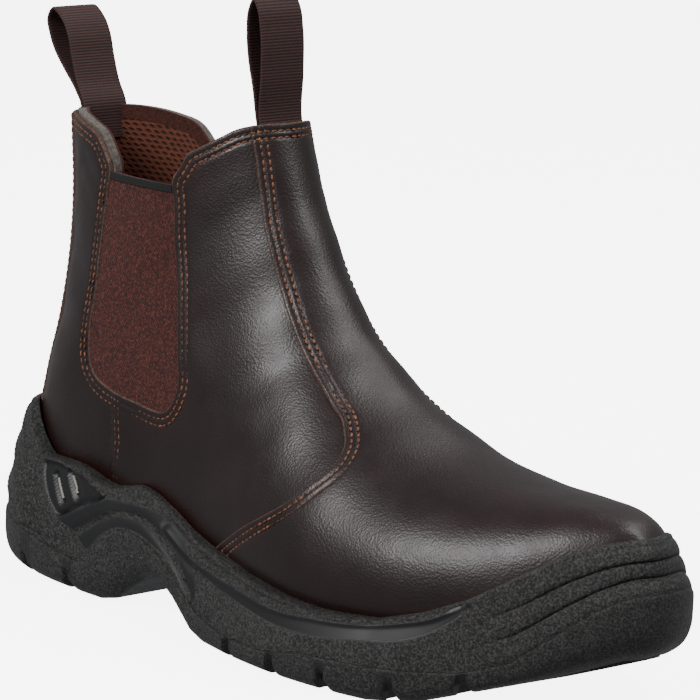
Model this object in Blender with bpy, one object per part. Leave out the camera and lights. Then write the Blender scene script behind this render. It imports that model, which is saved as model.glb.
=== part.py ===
"""Right side gore work boot: outsole, midsole, insole, hollow upper, two elastic gores, two pull loops.

Toe towards +X, medial side towards +Y, +Z up, metres, standing on z = 0.
Lengths in the tables are shares of the named sizes, read along the leather from the heel back.
"""
import math

import bmesh
import bpy
import numpy as np
from mathutils import Vector
from mathutils.bvhtree import BVHTree

# Driving sizes of the last and the upper
LAST_LENGTH = 0.2905
BALL_WIDTH = 0.0955
INSTEP_HEIGHT = 0.111
SHAFT_HEIGHT = 0.1715
HEEL_HEIGHT = 0.030
BALL_HEIGHT = 0.020
TOE_SPRING = 0.0275
UPPER_WALL = 0.0016
OVERLAY_STEP = 0.0012
CLEARANCE = 0.0003

# Gore, insole and pull loops
GORE_THICKNESS = 0.0014
GORE_RECESS = 0.0006
# GORE_TOP and BACK_RIM are shares of SHAFT_HEIGHT, STAY_EDGE of the way round from the front
GORE_TOP = 0.8618
STAY_EDGE = 0.86
INSOLE_THICKNESS = 0.003
INSOLE_MARGIN = 0.0012
WEBBING_WIDTH = 0.0195
WEBBING_THICKNESS = 0.0013
FRONT_LOOP_RISE = 0.0445
BACK_LOOP_RISE = 0.0335
LOOP_TAIL = 0.012
BACK_RIM = 0.9662

# Sole
SOLE_FLARE = 0.0116
LIP_WALL = 0.0018
LIP_ROUND = 0.0008
RIB_DEPTH = 0.0014
OUTSOLE_PROUD = 0.0007
OUTSOLE_RIM = 0.006
OUTSOLE_BASE = 0.0045
MIDSOLE_BASE = 0.003
OUTSOLE_SKIN = 0.001
LUG_DEPTH = 0.004
CUP_ROWS = (0.10, 0.22, 0.42, 0.64, 0.85)
CUP_CORNER = 0.0025
SEAT_DROP = 0.00045
GROOVE_WIDTH = 0.0045
CHANNEL_WIDTH = 0.0045
STATION_STEP = 0.0085
END_STEP = 0.0055
ROUND_END = 0.14
# Shares: where the two long channels lie, how far out the shoulder and how high the knee of the
# outsole's side, and the lift of the arch over LUG_DEPTH past which it has no channels
CHANNEL_SHARES = (0.3, 0.7)
SHOULDER_SHARE = 0.6
SIDE_KNEE = 0.45
ARCH_LIFT = 0.2
# The lip's inner side leans in over the toe, past this share of HEEL_HEIGHT
LIP_DIP_FROM = 1.5
LIP_DIP = 0.618
WALL_FOOT_IN = 0.004
INSOLE_EDGE_IN = 0.01

# How finely the last is sampled, and how finely it is faceted
FINE_PER_SECTION = 12
FINE_PER_SIDE = 90
FACETS_PER_SECTION = 2
FACETS_PER_SIDE = 16
FACET_SAG = 0.0006
SNAP_SHARE = 0.006
RAY_START = 0.03
RAY_BACKSTEP = 0.002
LEAST_SLANT = 0.3
SHAFT_MIDDLE = 0.2

# Plan outline of the leather at its widest, from the heel back round the lateral side to the toe
# and home along the medial side: along = share of LAST_LENGTH, side = share of BALL_WIDTH
OUTLINE = (
    # along, side
    (0.000, 0.000),
    (0.008, -0.115),
    (0.028, -0.215),
    (0.069, -0.298),
    (0.131, -0.346),
    (0.203, -0.367),
    (0.286, -0.377),
    (0.368, -0.403),
    (0.451, -0.445),
    (0.534, -0.492),
    (0.620, -0.513),
    (0.706, -0.490),
    (0.788, -0.424),
    (0.864, -0.325),
    (0.929, -0.204),
    (0.978, -0.073),
    (1.000, 0.052),
    (0.991, 0.178),
    (0.957, 0.304),
    (0.902, 0.403),
    (0.830, 0.466),
    (0.747, 0.487),
    (0.658, 0.466),
    (0.561, 0.414),
    (0.465, 0.367),
    (0.368, 0.340),
    (0.279, 0.340),
    (0.196, 0.346),
    (0.124, 0.335),
    (0.060, 0.283),
    (0.024, 0.209),
    (0.006, 0.110),
)
TOE_POINT = 16

# Height of the floor under the foot: shares of HEEL_HEIGHT, BALL_HEIGHT and TOE_SPRING added up
FLOOR = (
    # along, heel, ball, spring
    (0.000, 1.000, 0.000, 0.00),
    (0.080, 1.000, 0.000, 0.00),
    (0.220, 0.980, 0.000, 0.00),
    (0.320, 0.700, 0.350, 0.00),
    (0.420, 0.300, 0.800, 0.00),
    (0.530, 0.060, 1.010, 0.00),
    (0.630, 0.000, 1.015, 0.00),
    (0.730, 0.000, 1.000, 0.00),
    (0.840, 0.000, 1.000, 0.07),
    (0.910, 0.000, 1.000, 0.17),
    (0.975, 0.000, 1.000, 0.30),
    (1.000, 0.000, 1.000, 0.36),
)

# Cross sections of the last from the toe to the collar. Each one runs from the ridge on top of
# the foot to the line under it or up the heel.
# top: share of INSTEP_HEIGHT up to 1, then of the way from INSTEP_HEIGHT to SHAFT_HEIGHT
# low: share of SHAFT_HEIGHT - HEEL_HEIGHT above the floor
# width: share of the plan outline, widest: where on the section it is widest, from its low end
# round_top, round_low, curl: exponents of the curves, ridge: share of BALL_WIDTH
SECTIONS = (
    # top_along, top, low_along, low, width, widest, round_top, round_low, curl, ridge
    (0.9997, 0.410, 0.9997, 0.099, 1.00, 0.40, 0.90, 0.60, 0.80, 0.052),
    (0.9948, 0.468, 0.9948, 0.042, 1.00, 0.40, 0.85, 0.50, 0.80, 0.052),
    (0.9776, 0.523, 0.9776, -0.006, 1.00, 0.38, 0.80, 0.45, 0.80, 0.052),
    (0.9398, 0.568, 0.9398, -0.016, 1.00, 0.36, 0.78, 0.40, 0.80, 0.052),
    (0.8709, 0.599, 0.8709, -0.014, 1.00, 0.34, 0.82, 0.40, 0.80, 0.052),
    (0.7849, 0.622, 0.7849, -0.018, 1.00, 0.32, 0.90, 0.40, 0.80, 0.047),
    (0.6988, 0.676, 0.6988, -0.021, 1.00, 0.30, 0.98, 0.40, 0.80, 0.042),
    (0.6196, 0.761, 0.6196, -0.031, 1.00, 0.28, 1.05, 0.40, 0.80, 0.037),
    (0.5542, 0.874, 0.5129, -0.031, 1.00, 0.27, 1.10, 0.40, 0.80, 0.031),
    (0.5043, 1.000, 0.3993, -0.033, 1.00, 0.27, 1.10, 0.40, 0.80, 0.021),
    (0.4682, 1.231, 0.2857, -0.033, 1.00, 0.30, 1.03, 0.40, 0.80, 0.010),
    (0.4423, 1.430, 0.1687, -0.027, 1.00, 0.33, 0.95, 0.45, 0.80, 0.005),
    (0.4234, 1.595, 0.0620, -0.015, 1.00, 0.37, 0.90, 0.50, 0.85, 0.000),
    (0.4114, 1.727, 0.0000, 0.099, 0.97, 0.41, 0.88, 0.70, 0.90, 0.000),
    (0.4034, 1.818, 0.0000, 0.233, 0.93, 0.45, 0.87, 0.80, 0.95, 0.000),
    (0.3966, 1.901, 0.0155, 0.403, 0.88, 0.48, 0.87, 0.85, 1.00, 0.000),
    (0.3917, 1.967, 0.0258, 0.580, 0.85, 0.50, 0.88, 0.88, 1.00, 0.000),
    (0.3880, 2.033, 0.0258, 0.749, 0.83, 0.50, 0.90, 0.90, 1.00, 0.000),
    (0.3849, 2.099, 0.0172, 0.905, 0.82, 0.50, 0.92, 0.92, 1.00, 0.000),
    (0.3821, 2.174, 0.0120, 1.032, 0.82, 0.50, 0.92, 0.92, 1.00, 0.000),
)

# Opening of one side in side view: the collar's rear slope, round the gore, the front shoulder and
# the top of the front tab: along = share of LAST_LENGTH, up = share of SHAFT_HEIGHT
OPENING = (
    # along, up
    (-0.080, 0.960),
    (0.000, 0.962),
    (0.060, 0.965),
    (0.112, 0.956),
    (0.146, 0.932),
    (0.167, 0.900),
    (0.180, 0.862),
    (0.178, 0.800),
    (0.174, 0.728),
    (0.172, 0.655),
    (0.172, 0.583),
    (0.170, 0.518),
    (0.171, 0.478),
    (0.180, 0.443),
    (0.202, 0.420),
    (0.235, 0.408),
    (0.277, 0.400),
    (0.312, 0.394),
    (0.331, 0.398),
    (0.344, 0.425),
    (0.348, 0.455),
    (0.342, 0.500),
    (0.333, 0.569),
    (0.323, 0.647),
    (0.311, 0.723),
    (0.305, 0.800),
    (0.300, 0.862),
    (0.302, 0.890),
    (0.308, 0.915),
    (0.321, 0.940),
    (0.348, 0.968),
    (0.371, 0.992),
    (0.388, 1.000),
    (0.440, 1.003),
)
OPENING_LID = 0.35

# Edge of the vamp over the quarters: section = row of SECTIONS, girth = share of the way from the
# ridge to the low line
VAMP_EDGE = (
    # section, girth
    (19.50, 0.120),
    (16.80, 0.114),
    (14.50, 0.095),
    (12.76, 0.091),
    (11.80, 0.100),
    (10.70, 0.122),
    (9.60, 0.141),
    (8.80, 0.150),
    (8.00, 0.159),
    (7.50, 0.168),
    (7.15, 0.184),
    (6.90, 0.209),
    (6.72, 0.240),
    (6.65, 0.280),
    (6.80, 0.345),
    (7.19, 0.423),
    (7.53, 0.486),
    (7.95, 0.564),
    (8.25, 0.630),
    (8.60, 0.720),
)
QUARTER_FAR = ((8.60, 1.60), (20.50, 1.60), (20.50, 0.120))
GIRTH_PER_SECTION = 6.0

# The sole's side along its length. lip, joint and tread are shares of HEEL_HEIGHT, tread also of
# TOE_SPRING. The three outs are shares of SOLE_FLARE outside the leather.
SOLE_SIDE = (
    # along, lip, joint, tread, spring, lip_out, joint_out, tread_out, bulge
    (-0.05, 1.93, 0.65, 0.00, 0.00, 0.37, 1.00, 0.47, 1.0),
    (0.010, 1.93, 0.65, 0.00, 0.00, 0.37, 1.00, 0.47, 1.0),
    (0.040, 1.93, 0.64, 0.00, 0.00, 0.37, 1.00, 0.47, 1.0),
    (0.070, 1.72, 0.59, 0.00, 0.00, 0.37, 0.96, 0.44, 1.0),
    (0.095, 1.48, 0.54, 0.00, 0.00, 0.34, 0.92, 0.42, 1.0),
    (0.135, 1.43, 0.49, 0.00, 0.00, 0.30, 0.86, 0.40, 0.9),
    (0.170, 1.43, 0.44, 0.00, 0.00, 0.28, 0.80, 0.38, 0.8),
    (0.210, 1.33, 0.39, 0.00, 0.00, 0.27, 0.76, 0.36, 0.7),
    (0.235, 1.30, 0.62, 0.00, 0.00, 0.26, 0.73, 0.35, 0.6),
    (0.262, 1.36, 0.88, 0.06, 0.00, 0.26, 0.71, 0.35, 0.6),
    (0.290, 1.43, 0.97, 0.25, 0.00, 0.26, 0.70, 0.35, 0.6),
    (0.322, 1.39, 0.95, 0.43, 0.00, 0.25, 0.69, 0.35, 0.6),
    (0.365, 1.26, 0.84, 0.48, 0.00, 0.24, 0.69, 0.35, 0.6),
    (0.400, 1.12, 0.66, 0.33, 0.00, 0.23, 0.69, 0.35, 0.6),
    (0.440, 1.02, 0.45, 0.05, 0.00, 0.22, 0.69, 0.35, 0.6),
    (0.465, 0.99, 0.33, 0.00, 0.00, 0.21, 0.69, 0.35, 0.6),
    (0.520, 0.90, 0.25, 0.00, 0.00, 0.20, 0.69, 0.35, 0.6),
    (0.590, 0.82, 0.25, 0.00, 0.00, 0.20, 0.69, 0.35, 0.6),
    (0.660, 0.79, 0.38, 0.00, 0.00, 0.20, 0.69, 0.35, 0.6),
    (0.740, 0.85, 0.41, 0.00, 0.00, 0.20, 0.68, 0.34, 0.6),
    (0.800, 1.03, 0.45, 0.00, 0.09, 0.20, 0.66, 0.28, 0.5),
    (0.850, 1.26, 0.52, 0.00, 0.27, 0.20, 0.62, 0.15, 0.4),
    (0.900, 1.58, 0.71, 0.00, 0.44, 0.12, 0.57, -0.05, 0.3),
    (0.940, 1.84, 1.08, 0.00, 0.58, -0.02, 0.52, -0.20, 0.3),
    (0.970, 1.97, 1.36, 0.00, 0.70, -0.24, 0.48, -0.34, 0.3),
    (0.990, 2.03, 1.51, 0.00, 0.78, -0.50, 0.46, -0.42, 0.3),
    (1.050, 2.05, 1.60, 0.00, 0.82, -0.66, 0.46, -0.46, 0.3),
)

# Two feature lines of the sole's side between joint (0) and lip (1), and how deep they are cut, as
# shares of RIB_DEPTH: ribs round the heel, panel and bands over the arch, rand, ribs of the toe
SIDE_LINES = (
    # round, low_line, high_line, low_cut, high_cut, band_cut
    (0.000, 0.36, 0.74, 0.9, 0.9, -0.3),
    (0.090, 0.34, 0.72, 0.9, 0.9, -0.3),
    (0.130, 0.22, 0.52, 0.9, 0.9, -0.3),
    (0.165, 0.16, 0.36, 0.6, 0.9, 0.0),
    (0.195, 0.20, 0.40, 0.3, 0.8, 0.2),
    (0.225, 0.26, 0.62, 0.6, 0.9, 0.2),
    (0.262, 0.42, 0.84, 1.0, 0.6, -0.2),
    (0.305, 0.38, 0.84, 1.0, 0.4, -0.3),
    (0.350, 0.38, 0.76, 1.0, 0.5, -0.3),
    (0.400, 0.26, 0.66, 0.8, 0.7, 0.3),
    (0.460, 0.30, 0.64, 0.3, 0.8, 0.6),
    (0.620, 0.32, 0.62, 0.2, 0.8, 0.6),
    (0.740, 0.33, 0.64, 0.3, 0.5, 0.1),
    (0.820, 0.33, 0.66, 1.0, 0.9, -0.4),
    (1.000, 0.33, 0.66, 1.0, 1.0, -0.5),
)

# Grooves across the tread, as shares of LAST_LENGTH
GROOVES = (0.062, 0.156, 0.508, 0.592, 0.687, 0.773, 0.851)

# Pull loops in side view: ahead = share of the loop's rise forward of its foot, up = share of it
FRONT_LOOP = (
    # ahead, up
    (0.000, 0.000),
    (-0.004, 0.380),
    (-0.030, 0.740),
    (-0.080, 0.920),
    (-0.135, 0.985),
    (-0.185, 0.900),
    (-0.196, 0.700),
    (-0.170, 0.520),
    (-0.095, 0.250),
)
BACK_LOOP = (
    # ahead, up
    (0.000, 0.000),
    (-0.110, 0.240),
    (-0.180, 0.500),
    (-0.225, 0.710),
    (-0.320, 0.880),
    (-0.490, 0.975),
    (-0.570, 0.870),
    (-0.545, 0.710),
    (-0.480, 0.560),
    (-0.340, 0.380),
    (-0.150, 0.170),
)
LOOP_STEPS = 26

COLORS = {
    "leather": (0.022, 0.016, 0.015),
    "elastic": (0.070, 0.024, 0.017),
    "webbing": (0.040, 0.022, 0.020),
    "midsole": (0.020, 0.020, 0.021),
    "outsole": (0.018, 0.018, 0.018),
    "insole": (0.062, 0.034, 0.024),
}
ROUGHNESS = {
    "leather": 0.38,
    "elastic": 0.80,
    "webbing": 0.75,
    "midsole": 0.50,
    "outsole": 0.65,
    "insole": 0.90,
}


def spline(knots, values, at):
    """Smooth curve through the values at uneven knots, read at the given places."""
    knots = np.asarray(knots, float)
    values = np.asarray(values, float).reshape(len(knots), -1)
    at = np.clip(np.asarray(at, float), knots[0], knots[-1])
    span = np.diff(knots)
    slope = np.diff(values, axis=0) / span[:, None]
    weight = span[1:] + span[:-1]
    tangent = np.empty_like(values)
    tangent[1:-1] = (slope[:-1] * span[1:, None] + slope[1:] * span[:-1, None]) / weight[:, None]
    tangent[0] = 1.5 * slope[0] - 0.5 * tangent[1]
    tangent[-1] = 1.5 * slope[-1] - 0.5 * tangent[-2]
    cell = np.clip(np.searchsorted(knots, at, side="right") - 1, 0, len(span) - 1)
    t = ((at - knots[cell]) / span[cell])[..., None]
    reach = span[cell][..., None]
    start = (1 + 2 * t) * (1 - t) ** 2 * values[cell] + t * (1 - t) ** 2 * reach * tangent[cell]
    end = t * t * (3 - 2 * t) * values[cell + 1] + t * t * (t - 1) * reach * tangent[cell + 1]
    return start + end


def column(table, place, at, index=0):
    """One column of a table, joined by straight lines and read by another column."""
    rows = np.asarray(table, float)
    return np.interp(at, rows[:, index], rows[:, place])


def chord_lengths(points):
    """Distance along a row of points, from 0."""
    steps = np.linalg.norm(np.diff(points, axis=0), axis=1)
    return np.concatenate([[0.0], np.cumsum(steps)])


def resample(points, count):
    """The same line with evenly spaced points."""
    along = chord_lengths(points)
    places = np.linspace(0.0, along[-1], count)
    return np.stack([np.interp(places, along, points[:, k]) for k in range(points.shape[1])], axis=1)


def floor_height(x):
    """Top of the midsole under the foot."""
    along = np.asarray(x, float) / LAST_LENGTH
    heel = column(FLOOR, 1, along) * HEEL_HEIGHT
    ball = column(FLOOR, 2, along) * BALL_HEIGHT
    return heel + ball + column(FLOOR, 3, along) * TOE_SPRING


def leather_outline(fineness=24):
    """Closed plan outline of the leather, and the index of its toe point."""
    rows = np.asarray(OUTLINE, float) * (LAST_LENGTH, BALL_WIDTH)
    count = len(rows)
    around = np.vstack([rows[-3:], rows, rows[:4]])
    steps = np.linalg.norm(np.diff(around, axis=0), axis=1) ** 0.5
    knots = np.concatenate([[0.0], np.cumsum(steps)])
    places = []
    for k in range(count):
        places.extend(np.linspace(knots[3 + k], knots[4 + k], fineness, endpoint=False))
    return spline(knots, around, np.array(places)), TOE_POINT * fineness


OUTLINE_POINTS, OUTLINE_TOE = leather_outline()


def half_width(x, side):
    """Distance of the plan outline from the centre line, lateral (-1) or medial (1)."""
    if side < 0:
        half = OUTLINE_POINTS[:OUTLINE_TOE + 1]
    else:
        half = np.vstack([OUTLINE_POINTS[OUTLINE_TOE:], OUTLINE_POINTS[:1]])
    order = np.argsort(half[:, 0])
    return side * float(np.interp(x, half[order, 0], half[order, 1]))


class Last:
    """The surface of the leather, read by section number and girth from -1 (lateral) to 1."""

    def __init__(self):
        rows = np.array([self.in_metres(row) for row in SECTIONS])
        tops = rows[:, 0:2]
        lows = rows[:, 2:4]
        self.knots = 0.5 * (chord_lengths(tops) + chord_lengths(lows))
        count = len(rows)
        self.steps = FINE_PER_SECTION
        numbers = np.linspace(0, count - 1, (count - 1) * self.steps + 1)
        places = np.interp(numbers, np.arange(count), self.knots)
        table = spline(self.knots, rows, places)
        self.points = np.array([self.ring(row) for row in table])
        self.normals = self.surface_normals()
        self.last_section = count - 1

    @staticmethod
    def in_metres(row):
        top_along, top, low_along, low, width, widest, round_top, round_low, curl, ridge = row
        x_top = top_along * LAST_LENGTH
        x_low = low_along * LAST_LENGTH
        z_top = INSTEP_HEIGHT * min(top, 1.0) + (SHAFT_HEIGHT - INSTEP_HEIGHT) * max(top - 1.0, 0.0)
        z_low = float(floor_height(x_low)) + low * (SHAFT_HEIGHT - HEEL_HEIGHT)
        return (x_top, z_top, x_low, z_low, width, widest, round_top, round_low, curl,
                ridge * BALL_WIDTH)

    @staticmethod
    def ring(row):
        """One section: the ridge, down the lateral side, the low line, up the medial side."""
        x_top, z_top, x_low, z_low, width, widest, round_top, round_low, curl, ridge = row
        angle = np.linspace(math.pi / 2, -math.pi / 2, 4 * FINE_PER_SIDE + 1)
        rise = np.abs(np.sin(angle))
        reach = np.clip(np.cos(angle), 0.0, 1.0)
        upper_half = np.sin(angle) >= 0.0
        along = np.where(upper_half, widest + (1 - widest) * rise, widest - widest * rise ** curl)
        wide = np.where(upper_half, reach ** round_top, reach ** round_low)
        x = x_low + (x_top - x_low) * along
        z = z_low + (z_top - z_low) * along
        x_wide = x_low + widest * (x_top - x_low)
        sides = []
        for side in (-1, 1):
            half = half_width(x_wide, side) * width
            y = ridge + side * (half - side * ridge) * wide
            sides.append(resample(np.stack([x, y, z], axis=1), FINE_PER_SIDE + 1))
        return np.vstack([sides[0], sides[1][1:-1][::-1]])

    def surface_normals(self):
        along = np.gradient(self.points, axis=0)
        around = np.roll(self.points, -1, axis=1) - np.roll(self.points, 1, axis=1)
        normals = np.cross(along, around)
        lengths = np.linalg.norm(normals, axis=2)
        normals = normals / np.maximum(lengths, 1e-12)[:, :, None]
        middle = self.points.mean(axis=1, keepdims=True)
        if np.sum(normals * (self.points - middle)) < 0:
            normals = -normals
        normals[0] = (1.0, 0.0, 0.0)
        return normals

    def read(self, grid, places):
        """Values of a grid at places given as section and girth."""
        places = np.atleast_2d(places)
        row = np.clip(places[:, 0] * self.steps, 0, len(grid) - 1.000001)
        around = np.mod(-places[:, 1], 2.0) * FINE_PER_SIDE
        around = np.mod(around, 2 * FINE_PER_SIDE)
        i = row.astype(int)
        j = around.astype(int)
        j_next = (j + 1) % (2 * FINE_PER_SIDE)
        a = (row - i)[:, None]
        b = (around - j)[:, None]
        near = grid[i, j] * (1 - b) + grid[i, j_next] * b
        far = grid[i + 1, j] * (1 - b) + grid[i + 1, j_next] * b
        return near * (1 - a) + far * a

    def at(self, places):
        return self.read(self.points, places)

    def normal_at(self, places):
        normals = self.read(self.normals, places)
        return normals / np.linalg.norm(normals, axis=1)[:, None]


LAST = Last()


def last_tree():
    """Search tree of the last's surface, for measuring the distance to the leather."""
    grid = LAST.points[:, ::2]
    rows, count = grid.shape[:2]
    points = [Vector(p) for p in grid.reshape(-1, 3)]
    faces = []
    for i in range(rows - 1):
        for j in range(count):
            k = (j + 1) % count
            faces.append((i * count + j, i * count + k, (i + 1) * count + k, (i + 1) * count + j))
    faces.append(tuple(range(count)))
    return BVHTree.FromPolygons(points, faces)


LAST_TREE = last_tree()


class Sheet:
    """The last's surface as faces in section and girth, which can be cut along lines."""

    def __init__(self):
        sections = np.linspace(0, LAST.last_section, LAST.last_section * FACETS_PER_SECTION + 1)
        girths = np.arange(-FACETS_PER_SIDE, FACETS_PER_SIDE) / FACETS_PER_SIDE
        count = len(girths)
        self.places = [(s, g) for s in sections for g in girths]
        self.faces = [list(range(count))[::-1]]
        for i in range(len(sections) - 1):
            for j in range(count):
                k = (j + 1) % count
                self.faces.append([i * count + j, i * count + k, (i + 1) * count + k,
                                   (i + 1) * count + j])

    def between(self, a, b, share):
        """Places on the edges from a to b, the short way round the girth."""
        turn = b[:, 1] - a[:, 1]
        turn = turn - 2.0 * np.round(turn / 2.0)
        section = a[:, 0] + share * (b[:, 0] - a[:, 0])
        girth = a[:, 1] + share * turn
        girth = np.mod(girth + 1.0, 2.0) - 1.0
        return np.stack([section, girth], axis=1)

    def cut(self, faces, field):
        """Cut the faces where the field is zero, and return those where it is above and below."""
        places = np.array(self.places)
        used = sorted({index for face in faces for index in face})
        values = np.zeros(len(places))
        values[used] = field(places[used])
        edges = sorted({(min(a, b), max(a, b)) for face in faces
                        for a, b in zip(face, face[1:] + face[:1])})
        edges = np.array([e for e in edges if values[e[0]] * values[e[1]] < 0.0]).reshape(-1, 2)
        start = places[edges[:, 0]]
        end = places[edges[:, 1]]
        low = np.zeros(len(edges))
        high = np.ones(len(edges))
        sign = np.sign(values[edges[:, 0]])
        for _ in range(14):
            middle = 0.5 * (low + high)
            same = field(self.between(start, end, middle)) * sign > 0
            low = np.where(same, middle, low)
            high = np.where(same, high, middle)
        share = 0.5 * (low + high)
        for (a, b), where in zip(edges, share):
            if where < SNAP_SHARE:
                values[a] = 0.0
            if where > 1 - SNAP_SHARE:
                values[b] = 0.0
        crossing = {}
        for (a, b), place in zip(edges, self.between(start, end, share)):
            if values[a] * values[b] < 0.0:
                crossing[(a, b)] = len(self.places)
                self.places.append(tuple(place))
        above = []
        below = []
        for face in faces:
            over = []
            under = []
            for a, b in zip(face, face[1:] + face[:1]):
                if values[a] >= 0:
                    over.append(a)
                if values[a] <= 0:
                    under.append(a)
                point = crossing.get((min(a, b), max(a, b)))
                if point is not None:
                    over.append(point)
                    under.append(point)
            highest = max(values[index] for index in face)
            lowest = min(values[index] for index in face)
            if highest > 0 and len(over) > 2:
                above.append(over)
            if lowest < 0 and len(under) > 2:
                below.append(under)
        return above, below


def signed_distance(points, outline):
    """Distance of each point to a closed outline, above zero inside it."""
    start = outline
    end = np.roll(outline, -1, axis=0)
    edge = end - start
    offset = points[:, None, :] - start[None]
    share = np.sum(offset * edge, axis=2) / np.maximum(np.sum(edge * edge, axis=1), 1e-18)
    nearest = np.clip(share, 0.0, 1.0)[:, :, None] * edge
    distance = np.min(np.linalg.norm(offset - nearest, axis=2), axis=1)
    x, y = points[:, 0:1], points[:, 1:2]
    spans = (start[:, 1] > y) != (end[:, 1] > y)
    rise = np.where(np.abs(edge[:, 1]) < 1e-12, 1e-12, edge[:, 1])
    crosses = spans & (x < start[:, 0] + (y - start[:, 1]) / rise * edge[:, 0])
    inside = np.sum(crosses, axis=1) % 2 == 1
    return np.where(inside, distance, -distance)


def opening_outline():
    """The collar opening with the gores, closed by a lid well above the boot, in metres."""
    rows = np.asarray(OPENING, float) * (LAST_LENGTH, SHAFT_HEIGHT)
    curve = spline(chord_lengths(rows), rows, np.linspace(0.0, chord_lengths(rows)[-1], 150))
    lid = OPENING_LID * LAST_LENGTH
    corners = curve[[-1, 0]] + ((lid, lid), (-lid, lid))
    return np.vstack([curve, corners])


def quarter_outline():
    """The quarters and back of the upper, behind the vamp's edge, in sections and scaled girth."""
    rows = np.array(VAMP_EDGE)
    curve = spline(chord_lengths(rows), rows, np.linspace(0.0, chord_lengths(rows)[-1], 120))
    return np.vstack([curve, QUARTER_FAR]) * (1.0, GIRTH_PER_SECTION)


OPENING_CURVE = opening_outline()
QUARTER_CURVE = quarter_outline()


def above_floor(places):
    points = LAST.at(places)
    return points[:, 2] - floor_height(points[:, 0]) - CLEARANCE


def in_opening(places):
    return signed_distance(LAST.at(places)[:, [0, 2]], OPENING_CURVE)


def in_gore(places):
    return in_opening(places) - CLEARANCE


def below_gore_top(places):
    return GORE_TOP * SHAFT_HEIGHT - LAST.at(places)[:, 2]


def in_quarters(places):
    return signed_distance(np.abs(places) * (1.0, GIRTH_PER_SECTION), QUARTER_CURVE)


def on_back_stay(places):
    return np.abs(places[:, 1]) - STAY_EDGE


def shell(sheet, layers, inner_depth):
    """Closed solid of the sheet's faces. layers is a list of (faces, depth of the outer side)."""
    places = np.array(sheet.places)
    used = sorted({index for faces, _ in layers for face in faces for index in face})
    points = dict(zip(used, LAST.at(places[used])))
    normals = dict(zip(used, LAST.normal_at(places[used])))
    depth_of_edge = {}
    depths_at = {}
    for faces, depth in layers:
        for face in faces:
            for a, b in zip(face, face[1:] + face[:1]):
                depth_of_edge[(a, b)] = depth
                depths_at.setdefault(a, set()).add(depth)
    vertices = []
    index_of = {}

    def vertex(index, depth):
        key = (index, depth)
        if key not in index_of:
            index_of[key] = len(vertices)
            point = points[index] - normals[index] * depth
            point[2] = max(point[2], float(floor_height(point[0])) + CLEARANCE)
            vertices.append(point)
        return index_of[key]

    def chain(index, depth):
        """The corner's vertices from one depth down to the inner side."""
        levels = [d for d in sorted(depths_at[index]) if depth < d < inner_depth]
        return [vertex(index, d) for d in [depth] + levels + [inner_depth]]

    polygons = []
    for faces, depth in layers:
        for face in faces:
            polygons.append([vertex(index, depth) for index in face])
            polygons.append([vertex(index, inner_depth) for index in reversed(face)])
    for (a, b), depth in depth_of_edge.items():
        across = depth_of_edge.get((b, a))
        if across is None:
            polygons.append(chain(a, depth) + chain(b, depth)[::-1])
        elif depth < across:
            polygons.append([vertex(b, depth), vertex(a, depth), vertex(a, across),
                             vertex(b, across)])
    return np.array(vertices), polygons


def triangles(polygon, vertices):
    """Triangles of a near-flat polygon: from its first corner, or past four the fattest fan."""
    if len(polygon) == 3:
        return [tuple(polygon)]
    best = None
    turns = len(polygon) if len(polygon) > 4 else 1
    for turn in range(turns):
        corners = polygon[turn:] + polygon[:turn]
        fan = [(corners[0], corners[k], corners[k + 1]) for k in range(1, len(corners) - 1)]
        areas = []
        for a, b, c in fan:
            cross = np.cross(vertices[b] - vertices[a], vertices[c] - vertices[a])
            areas.append(float(np.linalg.norm(cross)))
        if best is None or min(areas) > best[0]:
            best = (min(areas), fan)
    return best[1]


def add_object(name, vertices, polygons, material):
    """One closed piece with smooth shading."""
    faces = []
    for polygon in polygons:
        faces.extend(triangles(list(polygon), vertices))
    mesh = bpy.data.meshes.new(name)
    mesh.from_pydata([tuple(p) for p in vertices], [], faces)
    work = bmesh.new()
    work.from_mesh(mesh)
    bmesh.ops.recalc_face_normals(work, faces=work.faces)
    if work.calc_volume(signed=True) < 0.0:
        bmesh.ops.reverse_faces(work, faces=work.faces)
    work.to_mesh(mesh)
    work.free()
    mesh.shade_smooth()
    mesh.set_sharp_from_angle(angle=math.radians(35))
    mesh.materials.append(material)
    item = bpy.data.objects.new(name, mesh)
    bpy.context.scene.collection.objects.link(item)
    return item


def make_materials():
    made = {}
    for name, color in COLORS.items():
        material = bpy.data.materials.new(name)
        material.use_nodes = True
        shader = material.node_tree.nodes["Principled BSDF"]
        shader.inputs["Base Color"].default_value = (*color, 1.0)
        shader.inputs["Roughness"].default_value = ROUGHNESS[name]
        shader.inputs["Metallic"].default_value = 0.0
        made[name] = material
    return made


def build_upper(materials):
    """The hollow leather upper with its raised vamp and back stay, and the two elastic gores."""
    sheet = Sheet()
    standing, _ = sheet.cut(sheet.faces, above_floor)
    opening, leather = sheet.cut(standing, in_opening)
    quarters, vamp = sheet.cut(leather, in_quarters)
    stay, quarters = sheet.cut(quarters, on_back_stay)
    inner_depth = OVERLAY_STEP + UPPER_WALL
    vertices, polygons = shell(sheet, [(vamp + stay, 0.0), (quarters, OVERLAY_STEP)], inner_depth)
    add_object("upper", vertices, polygons, materials["leather"])

    gores, _ = sheet.cut(opening, in_gore)
    gores, _ = sheet.cut(gores, below_gore_top)
    outer_depth = OVERLAY_STEP + GORE_RECESS
    for name, side in (("gore_lateral", -1), ("gore_medial", 1)):
        faces = [face for face in gores if side * sheet.places[face[0]][1] > 0]
        vertices, polygons = shell(sheet, [(faces, outer_depth)], outer_depth + GORE_THICKNESS)
        add_object(name, vertices, polygons, materials["elastic"])


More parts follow.
